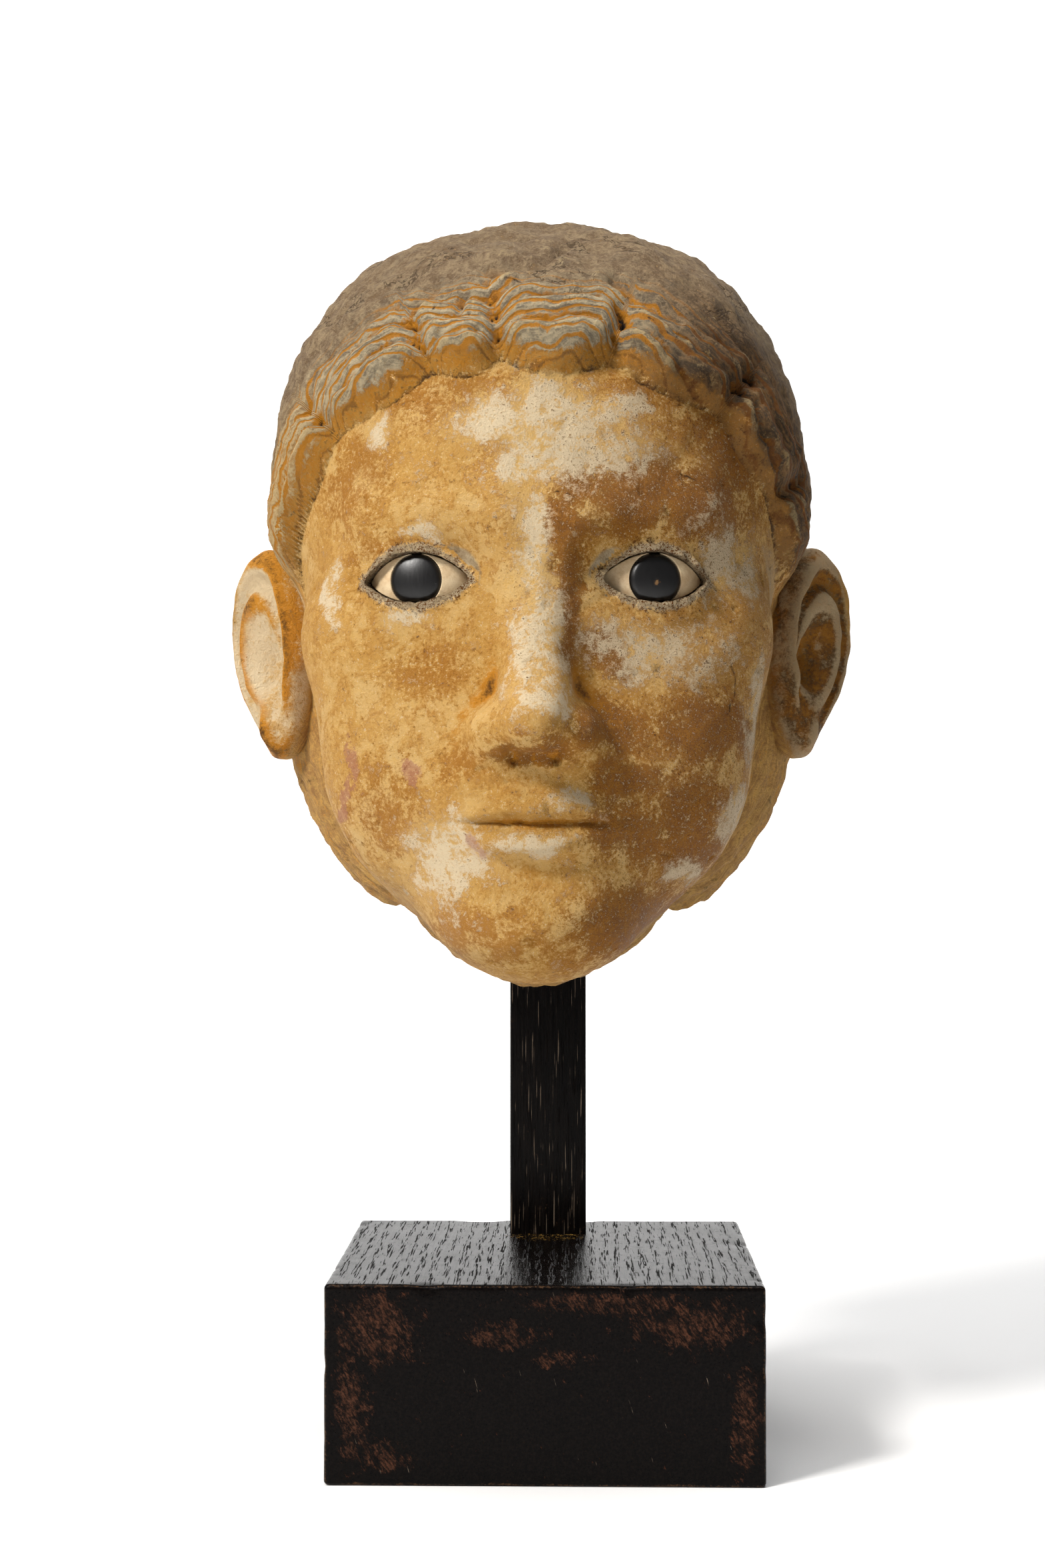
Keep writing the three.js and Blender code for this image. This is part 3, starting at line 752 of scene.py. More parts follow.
def plaster_mask():
    mask = mask_shell()
    for side in (-1, 1):
        combined(mask, ear(side), "UNION")
    for side in (-1, 1):
        combined(mask, eye_pocket(side), "DIFFERENCE")
    paint_masks(mask.data)
    mask.data.set_sharp_from_angle(angle=math.radians(70))
    return mask


# The oak block and post. The block has this many cells along each edge.
BLOCK_CELLS = 72
BLOCK_EDGE = 1.4 * MM
BLOCK_DENT = 0.5 * MM
BLOCK_WAVE = 0.12 * MM
POST_EDGE = 0.7 * MM
PORE_ROWS = 3.9 * MM
CRUMBS = (0, 28, 14, 10)  # at the post's foot: x, y, half width and half depth in millimetres


def rounded(points, half, radius):
    """Rounds off a box's edges: each point of the box's surface goes in to the rounded one."""
    core = np.clip(points, -(half - radius), half - radius)
    out = points - core
    away = np.linalg.norm(out, axis=1)[:, None]
    return core + out / np.maximum(away, 1e-9) * radius


SCUFFS = [
    (-48, -59, 44, 14, 13), (-12, -59, 43, 14, 5), (42, -59, 46, 20, 9), (-55, -59, 22, 6, 20),
    (-46, -59, 8, 9, 5), (4, -59, 36, 10, 3), (57, -59, 20, 5, 18), (22, -59, 52, 30, 4),
    (63, 10, 30, 10, 14), (63, -30, 48, 12, 8), (-63, 20, 40, 12, 12), (-63, -30, 12, 10, 8),
    (10, 59, 34, 26, 14),
]


def block_scuffs(places):
    """Rubbed spots on the block's sides, each (x, y, z, half width, half height) in millimetres."""
    total = np.zeros(len(places))
    for x, y, z, wide, high in SCUFFS:
        flat = length(places[:, 0] - x, places[:, 1] - y)
        away = length(flat / wide, (places[:, 2] - z) / high)
        total = np.maximum(total, 1 - ramp(0.2, 1.5, away))
    return total


def oak_block():
    bm = bmesh.new()
    bmesh.ops.create_cube(bm, size=2)
    bmesh.ops.subdivide_edges(bm, edges=bm.edges[:], cuts=BLOCK_CELLS - 1, use_grid_fill=True)
    cube = coordinates(bm)
    # The cells crowd towards the edges. The underside stays flat.
    crowded = np.sign(cube) * (1 - (1 - np.abs(cube)) ** 1.7)
    half = (BLOCK_HIGH - BLOCK_LOW) / 2
    points = rounded(crowded * half, half, BLOCK_EDGE)
    inset = np.sort(half - np.abs(points), axis=1)
    near_edge = bell(inset[:, 1], 0, 4 * MM)
    dents = ramp(0.15, 0.7, bumps(points, (1, 9 * MM, 40))) * near_edge
    waves = bumps(points, (BLOCK_WAVE, 25 * MM, 41))
    off_ground = points[:, 2] > -half[2] + 0.5 * MM
    worn_by = (dents * BLOCK_DENT + waves * off_ground)[:, None]
    points *= 1 - worn_by / half * off_ground[:, None]
    places = points + (BLOCK_LOW + BLOCK_HIGH) / 2
    move_to(bm, places)
    piece = new_piece("oak_block", bm, "dark_oak", ["base_block"])
    x, y, wide, deep = CRUMBS
    from_foot = length((places[:, 0] / MM - x) / wide, (places[:, 1] / MM - y) / deep)
    set_marks(piece.data, {
        "edge": bell(inset[:, 1], 0, 1.3 * MM),
        "scuff": block_scuffs(places / MM),
        "top": places[:, 2] > BLOCK_HIGH[2] - 0.5 * MM,
        "crumbs": (1 - ramp(0.7, 1.6, from_foot)) * (places[:, 2] > BLOCK_HIGH[2] - 1 * MM),
    })
    return piece


def oak_post():
    """The batten as its solid has it, with its corners merged and its edges softened."""
    bm = bmesh.new()
    bm.from_mesh(bpy.data.objects["post"].data)
    bmesh.ops.remove_doubles(bm, verts=bm.verts[:], dist=1e-6)
    bmesh.ops.dissolve_limit(bm, angle_limit=math.radians(1), verts=bm.verts[:], edges=bm.edges[:])
    upright = [e for e in bm.edges if abs(e.verts[0].co.z - e.verts[1].co.z) > 50 * MM]
    bmesh.ops.bevel(
        bm, geom=upright, offset=POST_EDGE, affect="EDGES", segments=3, profile=0.5, material=-1
    )
    piece = new_piece("oak_post", bm, "dark_oak", ["post"])
    places = np.array([v.co for v in piece.data.vertices])
    inset = (POST_HIGH - POST_LOW) / 2 - np.abs(places - (POST_HIGH + POST_LOW) / 2)
    set_marks(piece.data, {"edge": (inset[:, :2].max(axis=1) < POST_EDGE * 1.05) * 0.6})
    piece.data.set_sharp_from_angle(angle=math.radians(25))
    return piece


# Finishes. A Value is a number that changes over a surface, with its maths written as Python.
class Value:
    def __init__(self, paint, socket):
        self.paint = paint
        self.socket = socket

    def maths(self, operation, *others):
        inputs = dict(enumerate((self, *others)))
        return self.paint.node("ShaderNodeMath", {"operation": operation}, inputs)

    def __add__(self, other):
        return self.maths("ADD", other)

    __radd__ = __add__

    def __mul__(self, other):
        return self.maths("MULTIPLY", other)

    __rmul__ = __mul__

    def __sub__(self, other):
        return self.maths("SUBTRACT", other)

    def __rsub__(self, other):
        return (self * -1) + other

    def max(self, other):
        return self.maths("MAXIMUM", other)

    def between(self, low, high):
        """0 at low, 1 at high, and smooth in between. low may be the greater."""
        ends = (low, high, 0.0, 1.0) if low < high else (high, low, 1.0, 0.0)
        inputs = dict(zip(("From Min", "From Max", "To Min", "To Max"), ends), Value=self)
        return self.paint.node("ShaderNodeMapRange", {"interpolation_type": "SMOOTHSTEP"}, inputs)


class Paint:
    """One material and its nodes."""

    def __init__(self, name):
        self.material = bpy.data.materials.new(name)
        self.material.use_nodes = True
        self.tree = self.material.node_tree
        self.shader = self.tree.nodes["Principled BSDF"]
        self.place = self.node("ShaderNodeTexCoord", output="Object")

    def feed(self, socket, value):
        if isinstance(value, Value):
            self.tree.links.new(value.socket, socket)
        else:
            socket.default_value = value

    def node(self, kind, settings=None, inputs=None, output=0):
        made = self.tree.nodes.new(kind)
        for key, value in (settings or {}).items():
            setattr(made, key, value)
        for key, value in (inputs or {}).items():
            self.feed(made.inputs[key], value)
        return Value(self, made.outputs[output])

    def finish(self, **sockets):
        for name, value in sockets.items():
            self.feed(self.shader.inputs[name.replace("_", " ")], value)
        return self.material

    def mark(self, name):
        return self.node("ShaderNodeAttribute", {"attribute_name": name}, output="Fac")

    def axis(self, name):
        return self.node("ShaderNodeSeparateXYZ", {}, {"Vector": self.place}, output=name)

    def mix(self, factor, first, second):
        inputs = {0: factor, 6: first, 7: second}
        return self.node("ShaderNodeMix", {"data_type": "RGBA"}, inputs, output=2)

    def coats(self, colour, *coats):
        """Lays coats over a colour in turn, each given as its colour and how thickly it lies."""
        for coat, amount in coats:
            colour = self.mix(amount, colour, coat)
        return colour

    def vector(self, x, y, z):
        return self.node("ShaderNodeCombineXYZ", {}, {0: x, 1: y, 2: z})

    def stretched(self, x, y, z):
        """Object coordinates drawn out: a larger number gives shorter marks that way."""
        return self.node("ShaderNodeMapping", {}, {"Vector": self.place, "Scale": (x, y, z)})

    def slanted(self, lean, draw):
        """Object coordinates for marks drawn out along an upright line that leans towards +X."""
        inputs = {"Vector": self.place, "Rotation": (0, lean, 0), "Scale": (1, 1, draw)}
        return self.node("ShaderNodeMapping", {"vector_type": "TEXTURE"}, inputs)

    def cloud(self, size, detail=3.0, roughness=0.6, vector=None, seed=0.0, distortion=0.0):
        """Cloudy noise of about -1 to 1 round 0, with lumps of a size in metres."""
        inputs = {
            "Vector": vector or self.place, "W": seed, "Scale": 1 / size, "Detail": detail,
            "Roughness": roughness, "Distortion": distortion,
        }
        return (self.node("ShaderNodeTexNoise", {"noise_dimensions": "4D"}, inputs) - 0.5) * 4

    def specks(self, size):
        """Distance to the nearest of many scattered points, from 0 at each."""
        inputs = {"Vector": self.place, "Scale": 1 / size}
        settings = {"voronoi_dimensions": "4D"}
        return self.node("ShaderNodeTexVoronoi", settings, inputs, output="Distance")

    def bump(self, height, distance, strength):
        inputs = {"Height": height, "Distance": distance, "Strength": strength}
        return self.node("ShaderNodeBump", {}, inputs, output="Normal")


def ridged(course):
    """0 in the grooves between strands and 1 along their backs, from a strand's running number."""
    return (course * math.pi).maths("SINE").maths("ABSOLUTE")


def tint(red, green, blue):
    """A colour given in ordinary 0 to 255 values, as the renderer wants it."""
    def linear(channel):
        share = channel / 255
        return share / 12.92 if share <= 0.04045 else ((share + 0.055) / 1.055) ** 2.4
    return (linear(red), linear(green), linear(blue), 1.0)


CREAM = tint(234, 204, 146)
CHALK = tint(236, 216, 180)
GREIGE = tint(204, 180, 142)
PALE_OCHRE = tint(220, 174, 98)
OCHRE = tint(205, 152, 70)
DEEP_OCHRE = tint(172, 112, 34)
UMBER = tint(126, 76, 20)
DARK_UMBER = tint(66, 40, 16)
RUST = tint(208, 136, 26)
GREY = tint(144, 130, 108)
PALE_GREY = tint(222, 202, 164)
SLATE = tint(78, 58, 36)
TANNED = tint(160, 116, 66)
BLACKENED = tint(38, 28, 20)
DUN = tint(190, 164, 127)
DARK_DUN = tint(130, 104, 76)
MAUVE = tint(178, 118, 100)
BARE_PLASTER = tint(196, 176, 142)
SOILED_PLASTER = tint(150, 124, 88)


def face_colour(paint, broad, blotch, mottle, grain, dust):
    """Ochre patina over cream, worn to chalk, with umber patches. Towards the viewer's right the
    colours run browner, darker and greyer: partly staining, partly painted shade.
    """
    # Towards the viewer's right the brown coat, the darker flecks and the greyer chalk are partly
    # staining, partly painted shade.
    right = paint.mark("right_side_stain_and_shade")
    cover = broad * 0.4 + blotch * 0.6 + mottle * 0.8 + grain * 0.7 + 0.3
    tide_mark = (blotch + grain * 0.12).maths("ABSOLUTE").between(0.12, 0.0)
    faint = paint.mark("faint_stain") + blotch * 0.5 + mottle * 0.6 + grain * 0.9
    # Brown over the listed dark patches on the viewer's right.
    dark_patch = paint.mark("dark_patch") * 1.3 + blotch * 0.4 + mottle * 0.5 + grain * 0.8
    brown = paint.mix((mottle + grain * 1.2).between(-0.5, 0.7), UMBER, DEEP_OCHRE)
    brown_wash_and_shade = right * 0.7 + broad * 0.3 + blotch * 0.5 + mottle * 0.4 + grain * 0.5
    white = paint.mark("white") + blotch * 0.6 + mottle * 0.8 + grain * 0.6
    pink = paint.mark("pink") + mottle * 0.5 + grain * 0.3
    fleck = grain * 0.8 + dust * 0.7 + mottle * 0.4 + right * 0.25
    pale_fleck = grain * -0.9 + dust * 0.6 + mottle * -0.3 + right * 0.1
    return paint.coats(
        PALE_OCHRE,
        (CREAM, (mottle + grain).between(-0.7, 0.7)),
        (OCHRE, cover.between(-0.4, 0.5) * 0.92),
        (DEEP_OCHRE, tide_mark * (mottle + 0.3).between(-0.2, 0.5) * 0.5),
        (DEEP_OCHRE, faint.between(0.3, 1.15) * 0.8),
        (brown, dark_patch.between(0.35, 0.95) * 0.95),
        (brown, brown_wash_and_shade.between(0.05, 1.2) * 0.6),
        (paint.mix(right * 0.55, CHALK, GREIGE), white.between(0.4, 1.05) * 0.92),
        (MAUVE, pink.between(0.5, 0.8) * 0.6),
        (paint.mix(right * 0.6, UMBER, DARK_UMBER), fleck.between(0.5, 0.85) * 0.85),
        (paint.mix(right * 0.7, CHALK, GREIGE), pale_fleck.between(0.4, 0.75) * 0.7),
    )


def hair_colour(paint, ridge, streaks, blotch, mottle, grain):
    """Grey paint worn off the raised tresses, dark on the viewer's right, streaked on the left."""
    fringe = paint.mark("fringe")
    right = paint.mark("right_hair")
    groove = paint.mark("groove")
    combed = (streaks + mottle * 0.7 + grain * 0.5).between(-0.65, 0.5)
    dark = (streaks * 0.8 + mottle * 0.7 + grain * 0.6).between(-0.5, 0.7)
    pale = paint.coats(
        RUST,
        (CREAM, (streaks * 0.8 + mottle * 0.6 + grain * 0.5).between(-0.9, 0.4)),
        (SLATE, (streaks * 0.8 - blotch * 0.5 - grain * 0.4).between(0.42, 0.8)),
    )
    rubbed = groove * -1.0 + mottle * 0.6 + blotch * 0.4 + grain * 0.6
    gap = (ridge * -1.3 + 0.75 + mottle * 0.35 + blotch * 0.35 + grain * 0.2) * fringe
    orange = paint.mix((right + mottle * 0.5).between(0.3, 1.1), RUST, UMBER)
    deep = groove * 0.8 + right * 0.15 * fringe + mottle * 0.35 + grain * 0.2
    return paint.coats(
        DARK_DUN,
        (DUN, (mottle + grain * 0.8).between(-0.7, 0.8)),
        (GREY, (blotch + grain * 0.4).between(0.2, 1.0) * 0.6),
        (paint.mix(combed, GREY, PALE_GREY), fringe),
        (paint.mix(dark, SLATE, TANNED), right * 0.95),
        (pale, paint.mark("left_hair") * 0.85),
        (CREAM, rubbed.between(0.8, 1.5) * 0.5),
        (orange, gap.between(0.0, 0.35) * 0.95),
        (orange, (groove + mottle * 0.3 + grain * 0.3).between(0.3, 0.8) * fringe),
        (SLATE, (grain + mottle * 0.4).between(0.55, 1.1) * 0.5),
        (GREIGE, (mottle * 0.3 - grain).between(0.4, 0.9) * 0.6),
        (BLACKENED, deep.between(0.8, 1.3)),
    )


def plaster_finish():
    paint = Paint("patinated_plaster")
    broad = paint.cloud(30 * MM, 2, 0.5)
    blotch = paint.cloud(10 * MM, 4, 0.65, seed=3, distortion=0.4)
    mottle = paint.cloud(3.4 * MM, 5, 0.72, seed=5, distortion=0.3)
    grain = paint.cloud(1.0 * MM, 5, 0.8, seed=7)
    dust = paint.cloud(0.4 * MM, 2, 0.6, seed=8)
    # Towards the viewer's right the band, hollows, ear groove, roll and ear take darker, browner
    # and greyer colours: partly staining, partly painted shade.
    right = paint.mark("right_side_stain_and_shade")
    fringe = paint.mark("fringe")
    inward = paint.mark("inward")
    along = paint.mark("along")
    combed = paint.vector(paint.mark("course") * 9, along * 1.2, 0.0)
    streaks = paint.cloud(1.0, 4, 0.7, combed, seed=1)
    ridge = ridged(paint.mark("strand") + mottle * 0.05)
    brushed = paint.cloud(1.0, 4, 0.7, paint.vector(inward * 9, along * 0.9, 0.0), seed=2)

    # The brushed band beside the ears.
    band = paint.coats(
        paint.mix(right, PALE_OCHRE, GREIGE),
        (paint.mix(right, UMBER, DARK_DUN), (brushed + grain * 0.5).between(0.0, 0.8) * 0.85),
        (CREAM, (mottle * 0.4 - brushed).between(0.3, 0.9) * 0.7),
    )
    banded = paint.mark("cheek_band") + broad * 0.3 + blotch * 0.5 + grain * 0.3
    banded = banded.between(0.35, 1.1) * (mottle * 0.5 + 0.6).between(0.0, 1.0)

    # Hollows gather brown, apart from the long one under the hairline.
    clear = inward.between(-0.2, -1.2).max(paint.mark("ear"))
    hollow = paint.mark("hollow") * clear + blotch * 0.2 + mottle * 0.25 + grain * 0.3
    channel = paint.mark("ear_groove") * 0.9 + blotch * 0.5 + mottle * 0.5 + grain * 0.5
    rusty = (mottle + streaks * 0.6 + grain * 0.4).between(-0.4, 0.8)
    rusty = paint.mix(rusty, RUST, paint.mix(right, PALE_OCHRE, UMBER))

    # The tress ends that roll over the hairline, with painted shade in the creases between their
    # strands, cream flecks that are partly the plaster's own and partly painted highlights, and a
    # painted shadow in the crease under them.
    roll = paint.mark("roll") + mottle * 0.4 + grain * 0.4
    roll_tone = paint.coats(
        RUST,
        (OCHRE, (mottle * 0.8 + streaks * 0.5 + grain).between(-0.5, 0.7)),
        (TANNED, (right * 0.9 + mottle * 0.4 + grain * 0.4).between(0.3, 1.0) * 0.8),
        # Cream flecks: partly the plaster's own, partly painted highlights.
        (CREAM, (blotch * 0.6 - mottle * 0.5 + grain * 0.5).between(0.35, 0.9) * 0.8),
        # Umber where the strands dip: painted shade in the creases between them.
        (UMBER, (mottle * 0.3 + grain * 0.3 - ridge).between(-0.5, 0.0) * 0.7),
        (DARK_UMBER, (grain * 0.8 + mottle * 0.8 + blotch * 0.3).between(0.3, 0.9)),
    )
    # A dark line just under the roll: painted shadow in the crease beneath it.
    roll_crease_shadow = (inward + mottle * 0.06 + 0.07).maths("ABSOLUTE").between(0.07, 0.01)
    roll_crease_shadow = roll_crease_shadow * roll.between(0.1, 0.4) * (blotch + grain * 0.6).between(-0.2, 0.5)

    hair = paint.mark("hair") + blotch * 0.25 + mottle * 0.4 + grain * 0.35
    nape = paint.coats(
        TANNED,
        (PALE_OCHRE, (streaks * 0.7 + mottle * 0.6 + grain * 0.6).between(-0.7, 0.8)),
        (RUST, (streaks * 0.5 - blotch * 0.6 + grain * 0.4).between(0.1, 0.8) * 0.8),
        (SLATE, (blotch * 0.8 + mottle * 0.4 + grain * 0.5).between(0.3, 0.9) * 0.8),
    )
    crust_tone = paint.coats(
        GREIGE,
        (CHALK, (mottle + grain).between(-0.5, 0.5)),
        (UMBER, (grain * 0.9 + dust * 0.6 + mottle * 0.5).between(-0.1, 0.35)),
    )
    crusted = paint.mark("crust") + mottle * 0.4 + grain * 0.6
    bare = paint.mix((mottle + blotch * 0.5).between(-0.5, 0.7), BARE_PLASTER, SOILED_PLASTER)
    laid_bare = paint.mark("inside").max(paint.mark("broken")) + mottle * 0.15

    ear = (paint.mark("ear") + mottle * 0.2).between(0.3, 0.8)
    pale_ear = paint.coats(
        CHALK,
        (PALE_OCHRE, (blotch + mottle * 0.6 + grain * 0.5).between(-0.1, 1.0)),
        (DEEP_OCHRE, (grain * 0.7 - mottle * 0.8).between(0.4, 0.9) * 0.7),
    )
    raised = mottle * 0.6 + grain * 0.4 - paint.mark("groove") * 1.5
    # The ear on the viewer's right, darker than the other: partly its own patina, partly painted
    # shade.
    dark_ear = paint.coats(
        DARK_UMBER,
        (DEEP_OCHRE, (blotch + mottle * 0.7 + grain * 0.7).between(-0.6, 0.8)),
        (GREIGE, (grain * 0.5 - blotch * 0.6 - mottle * 0.6).between(0.1, 0.8) * 0.7),
        (GREIGE, raised.between(0.2, 0.9) * 0.75),
    )

    fissures = paint.cloud(13 * MM, 4, 0.65, seed=21, distortion=0.5).maths("ABSOLUTE")
    fissures = fissures.between(0.09, 0.0) * (broad + mottle * 0.2).between(0.0, 0.4)
    fissures = fissures * hair.between(0.4, 0.9) * (1 - fringe * 0.7)
    crack = (paint.mark("crack") + grain * 0.35 + mottle * 0.2).between(0.36, 0.06)
    colour = paint.coats(
        face_colour(paint, broad, blotch, mottle, grain, dust),
        (band, banded),
        (paint.mix(right, RUST, DEEP_OCHRE), hollow.between(0.35, 0.9) * 0.85),
        (DARK_UMBER, hollow.between(0.85, 1.4) * 0.9),
        (rusty, channel.between(0.25, 1.1) * 0.85),
        (roll_tone, roll.between(0.45, 0.9) * 0.95),
        # Painted shadow in the crease under the roll.
        (DARK_UMBER, roll_crease_shadow * 0.85),
        (hair_colour(paint, ridge, streaks, blotch, mottle, grain), hair.between(0.35, 0.8)),
        (nape, (paint.mark("nape") + mottle * 0.4).between(0.3, 0.7)),
        (crust_tone, crusted.between(0.3, 0.7) * 0.95),
        # Painted shadow along the gap between the lids and the inlays.
        (DARK_UMBER, (paint.mark("lid_gap_shadow") + grain * 0.4).between(0.5, 1.0) * 0.8),
        (bare, laid_bare.between(0.35, 0.7)),
        (pale_ear, ear * (1 - right) * hollow.between(0.8, 0.1) * 0.8),
        (dark_ear, ear * right * hollow.between(1.0, 0.3) * 0.85),
        (SLATE, fissures * 0.8),
        (DARK_UMBER, crack * 0.85),
    )

    pits = paint.specks(2.4 * MM).between(0.0, 0.2)
    thick_hair = hair.between(0.3, 0.9)
    rolled = roll.between(0.4, 0.9)
    height = mottle * 0.5 + grain * 0.55 + dust * 0.1 + blotch * 0.3 + pits * 0.6
    height = height - crack * 1.2 - fissures * 2 + brushed * banded * 0.3
    height = height + thick_hair * (fringe * ridge * 2.2 + grain * 0.8)
    height = height + rolled * (ridge * 1.5 + grain * 0.6 + mottle * 0.6)
    height = height + ear * (blotch * 0.9 + mottle * 0.5)
    height = height + crusted.between(0.3, 0.8) * (grain * 1.6 + mottle)
    return paint.finish(
        Base_Color=colour,
        Roughness=mottle * 0.1 + grain * 0.1 + 0.62,
        Normal=paint.bump(height, 0.8 * MM, 0.9),
        Specular_IOR_Level=0.2,
    )


def white_stone_finish():
    paint = Paint("white_stone")
    cloud = paint.cloud(4 * MM, 4, 0.6)
    grit = paint.cloud(0.6 * MM, 3, 0.7, seed=2)
    colour = paint.coats(
        tint(226, 204, 166),
        (tint(200, 170, 130), cloud.between(-0.6, 0.7)),
        (tint(136, 112, 82), (cloud * 0.5 + grit * 0.7).between(0.4, 1.0) * 0.6),
    )
    return paint.finish(
        Base_Color=colour,
        Roughness=grit * 0.08 + 0.45,
        Normal=paint.bump(grit + cloud, 0.08 * MM, 0.5),
    )


# A small tan chip near the middle of the disc on the viewer's right.
CHIP_PLACE = (0.0322, -0.0655, 0.2570)


def black_disc_finish():
    paint = Paint("black_glass")
    dust = paint.cloud(0.9 * MM, 4, 0.75)
    scratches = paint.cloud(0.5 * MM, 3, 0.7, paint.stretched(1.0, 1.0, 0.08), seed=4)
    worn = (dust * 0.6 + scratches * 0.5).between(0.9, 1.5)
    settings, inputs = {"operation": "DISTANCE"}, {0: paint.place, 1: CHIP_PLACE}
    away = paint.node("ShaderNodeVectorMath", settings, inputs, output="Value") * (1 / MM)
    colour = paint.coats(
        tint(17, 16, 17),
        (tint(84, 70, 56), worn * 0.6),
        (tint(132, 98, 60), (away + dust * 0.9).between(1.1, 0.4) * 0.8),
    )
    return paint.finish(
        Base_Color=colour,
        Roughness=worn * 0.3 + scratches * 0.06 + 0.36,
        Normal=paint.bump(scratches * 0.4 + dust * 0.3, 0.03 * MM, 0.4),
    )


def oak_finish(name, along, block=False):
    """Oak stained near black. along is the axis that the grain runs on."""
    paint = Paint(name)

    def drawn(share):
        return paint.stretched(*(share if axis == along else 1.0 for axis in range(3)))

    fibres = paint.cloud(0.8 * MM, 4, 0.7, drawn(0.05))
    pores = paint.cloud(0.5 * MM, 2, 0.5, drawn(0.045), seed=4, distortion=0.4)
    rough = paint.cloud(4 * MM, 5, 0.75, seed=8)
    grit = paint.cloud(0.7 * MM, 3, 0.7, seed=9)
    worn = (paint.mark("edge") + rough * 0.3 + grit * 0.3).between(0.75, 1.15)
    colour = paint.coats(
        tint(6, 5, 5),
        (tint(18, 14, 12), fibres.between(-0.6, 0.9)),
        (tint(96, 70, 48), worn * 0.6),
    )
    if block:
        # The open pores lie in rows, and show on the top only.
        sway = paint.cloud(16 * MM, 2, 0.5, drawn(0.3), seed=6)
        rows = ridged(paint.axis("X") * (1 / PORE_ROWS) + sway * 0.4)
        pore = (pores + rows * 0.8).between(0.82, 1.1) * paint.mark("top")
        torn = paint.cloud(0.9 * MM, 4, 0.7, paint.slanted(-0.6, 3), seed=12, distortion=0.8)
        scuff = paint.mark("scuff") * 0.9 + rough * 0.8 + torn * 0.5
        crumbs = paint.mark("crumbs") * 0.8 + grit * 0.7 + rough * 0.35
        crumbs = crumbs.between(0.95, 1.2)
        russet = paint.coats(
            tint(24, 17, 13),
            (tint(92, 58, 42), (torn + grit * 0.6).between(-0.5, 1.0)),
            (tint(96, 50, 30), (rough + torn * 0.4).between(0.5, 1.1)),
        )
        colour = paint.coats(
            colour,
            (russet, scuff.between(0.45, 1.15) * 0.85),
            (tint(178, 140, 72), crumbs),
        )
        height = fibres * 0.12 - pore * 1.1 + scuff.between(0.3, 1.0) * torn * 0.8 + crumbs * 0.5
        scratch = paint.cloud(0.35 * MM, 2, 0.5, paint.slanted(-0.3, 16), seed=11)
        marks = (scratch + rough * 0.25).between(0.95, 1.2)
    else:
        pore = pores.between(0.3, 0.6)
        height = fibres * 0.25 - pore * 0.8
        fine = paint.cloud(0.36 * MM, 1, 0.5, drawn(0.02), seed=5)
        marks = (fine + rough * 0.15).between(0.62, 0.82)
    marks = marks.max((grit + rough * 0.4).between(1.1, 1.5))
    return paint.finish(
        Base_Color=paint.mix(marks * 0.7, colour, tint(132, 116, 100)),
        Roughness=pore * 0.5 + fibres * 0.04 + rough * 0.03 + 0.22,
        Normal=paint.bump(height, 0.3 * MM, 0.8),
        IOR=1.15,
    )


def dress(piece, material):
    piece.data.materials.clear()
    piece.data.materials.append(material)


def add_to_scene(name, data, place, turn):
    made = bpy.data.objects.new(name, data)
    made.location = place
    made.rotation_euler = turn
    bpy.context.scene.collection.objects.link(made)
    return made


# The camera, fitted to the block's edges in the photograph.
CAMERA_LENS = 54.18
CAMERA_SENSOR = 36
CAMERA_PLACE = (0.00844, -0.73452, 0.18115)
CAMERA_TILT = math.radians(90 + 1.585)
CAMERA_TURN = math.radians(1.249)


def set_camera():
    view = bpy.data.cameras.new("camera")
    view.lens = CAMERA_LENS
    view.sensor_width = CAMERA_SENSOR
    turn = (CAMERA_TILT, 0, CAMERA_TURN)
    bpy.context.scene.camera = add_to_scene("camera", view, CAMERA_PLACE, turn)


# Soft round lights: place, aim, width across, power, spread in degrees and colour.
LIGHTS = {
    "key": ((-1.05, -1.0, 1.4), (0, 0, 0.26), 0.5, 44, 180, (1.0, 0.97, 0.93)),
    "top": ((0.0, -0.1, 2.0), (0, -0.1, 0), 1.0, 7.5, 100, (1, 1, 1)),
    "backdrop": ((0.0, 0.1, 1.9), (0, 1.5, 0.5), 1.0, 9, 90, (1, 1, 1)),
}
FLOOR_SIDE, FLOOR_BEHIND, FLOOR_FRONT = 3.0, 1.6, 2.2
FLOOR_CURVE = 0.8
WALL_HEIGHT = 2.5
FADE_START, FADE_END = 1.0, 1.9
SURROUND_LIGHT = 0.13


def add_lights():
    for name, (place, aim, size, power, spread, colour) in LIGHTS.items():
        light = bpy.data.lights.new(name, "AREA")
        light.shape = "DISK"
        light.size = size
        light.energy = power
        light.color = colour
        light.spread = math.radians(spread)
        turn = (Vector(aim) - Vector(place)).to_track_quat("-Z", "Y").to_euler()
        add_to_scene(name, light, place, turn)


def drawn_out(bm, edges, way):
    """Extrudes edges into faces that run along a way."""
    grown = bmesh.ops.extrude_edge_only(bm, edges=edges)
    verts = [part for part in grown["geom"] if isinstance(part, bmesh.types.BMVert)]
    bmesh.ops.translate(bm, verts=verts, vec=way)


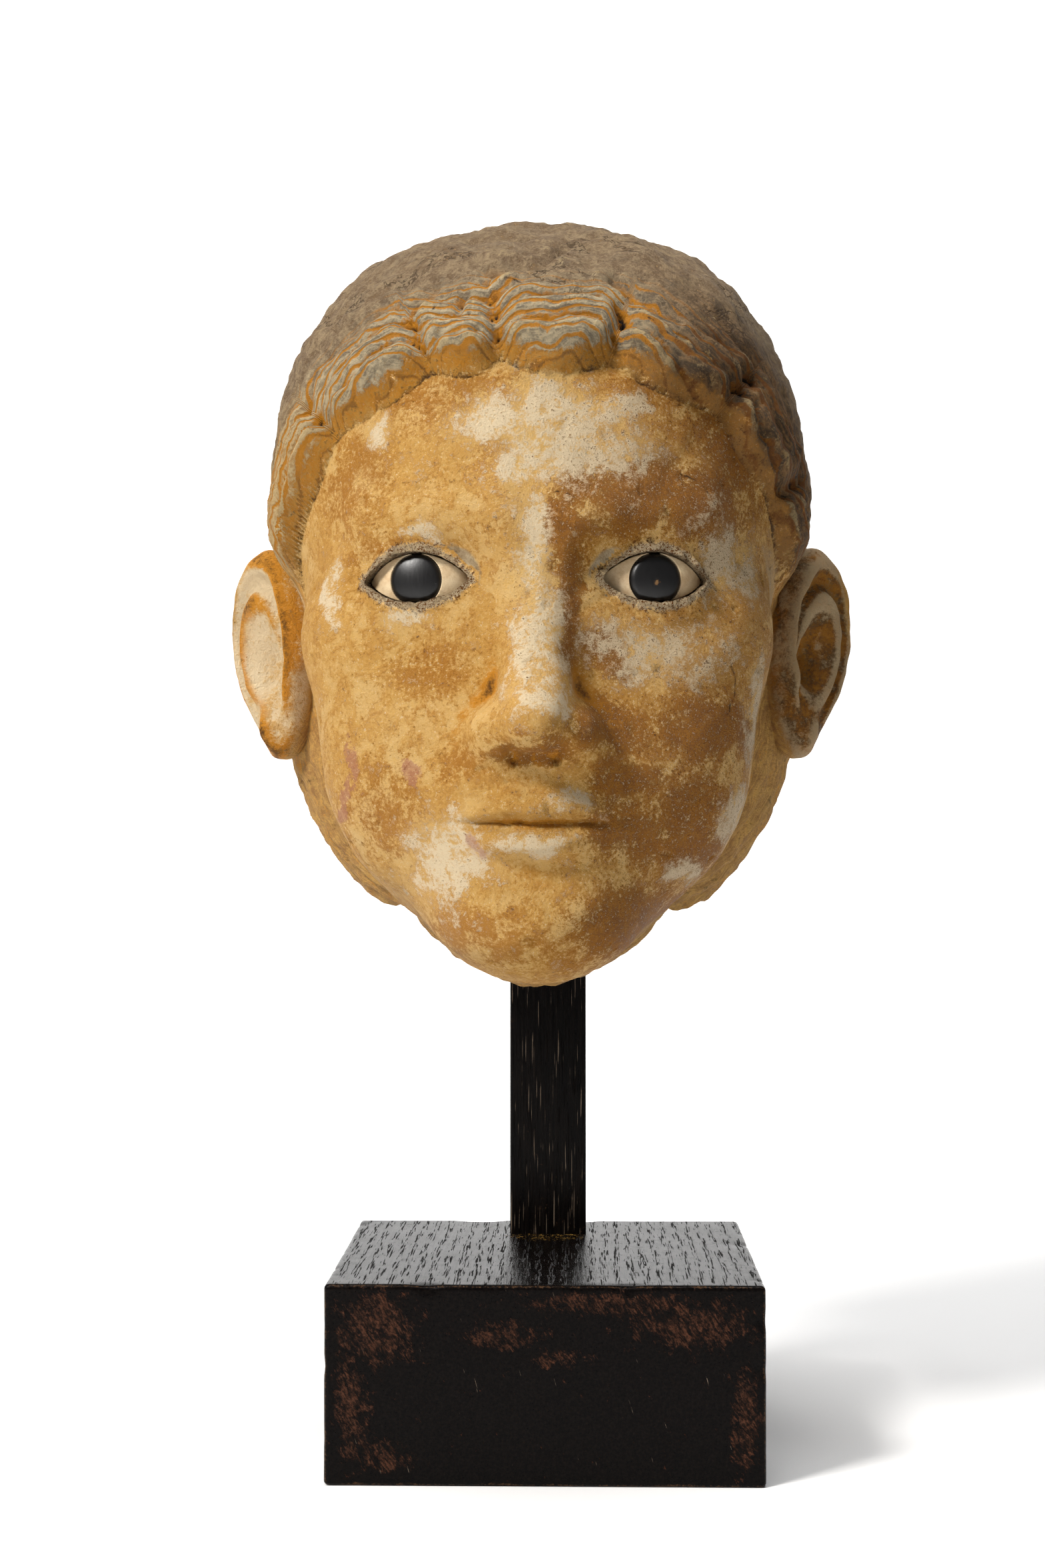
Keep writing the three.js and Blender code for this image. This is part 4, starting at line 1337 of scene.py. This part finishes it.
def pale_floor():
    """A pale floor that curves up behind. Far to the sides and in front it fades out."""
    bm = bmesh.new()
    ends = [bm.verts.new((x, -FLOOR_FRONT, 0)) for x in (-FLOOR_SIDE, FLOOR_SIDE)]
    curve_start = FLOOR_BEHIND - FLOOR_CURVE
    drawn_out(bm, [bm.edges.new(ends)], (0, FLOOR_FRONT + curve_start, 0))
    far = [e for e in bm.edges if all(v.co.y > 0 for v in e.verts)]
    bmesh.ops.spin(
        bm, geom=far, cent=(0, curve_start, FLOOR_CURVE), axis=(1, 0, 0), angle=math.radians(90),
        steps=24, use_merge=False,
    )
    top = [e for e in bm.edges if all(abs(v.co.z - FLOOR_CURVE) < 1e-4 for v in e.verts)]
    drawn_out(bm, top, (0, 0, WALL_HEIGHT))
    floor = new_piece("pale_floor", bm)
    paint = Paint("pale_floor")
    sideways = paint.axis("X").maths("ABSOLUTE").between(FADE_START, FADE_END)
    far = sideways.max((paint.axis("Y") * -1).between(FADE_START, FADE_END))
    dress(floor, paint.finish(Base_Color=(0.92, 0.92, 0.92, 1), Roughness=0.85, Alpha=1 - far))


def pale_surround():
    """A surround that looks as pale as the floor, and gives only a little light."""
    world = bpy.data.worlds.new("studio")
    world.use_nodes = True
    tree = world.node_tree
    background = tree.nodes["Background"]
    background.inputs["Color"].default_value = (1, 1, 1, 1)
    seen = tree.nodes.new("ShaderNodeLightPath")
    strength = tree.nodes.new("ShaderNodeMapRange")
    strength.inputs["To Min"].default_value = SURROUND_LIGHT
    tree.links.new(seen.outputs["Is Camera Ray"], strength.inputs["Value"])
    tree.links.new(strength.outputs["Result"], background.inputs["Strength"])
    bpy.context.scene.world = world
    bpy.context.scene.view_settings.view_transform = "Standard"


set_camera()
dress(plaster_mask(), plaster_finish())
white_stone = white_stone_finish()
black_disc = black_disc_finish()
for side, word in ((-1, "left"), (1, "right")):
    dress(eye_white(side, word), white_stone)
    dress(iris(side, word), black_disc)
dress(oak_block(), oak_finish("oak_block", along=1, block=True))
dress(oak_post(), oak_finish("oak_post", along=2))
pale_floor()
add_lights()
pale_surround()
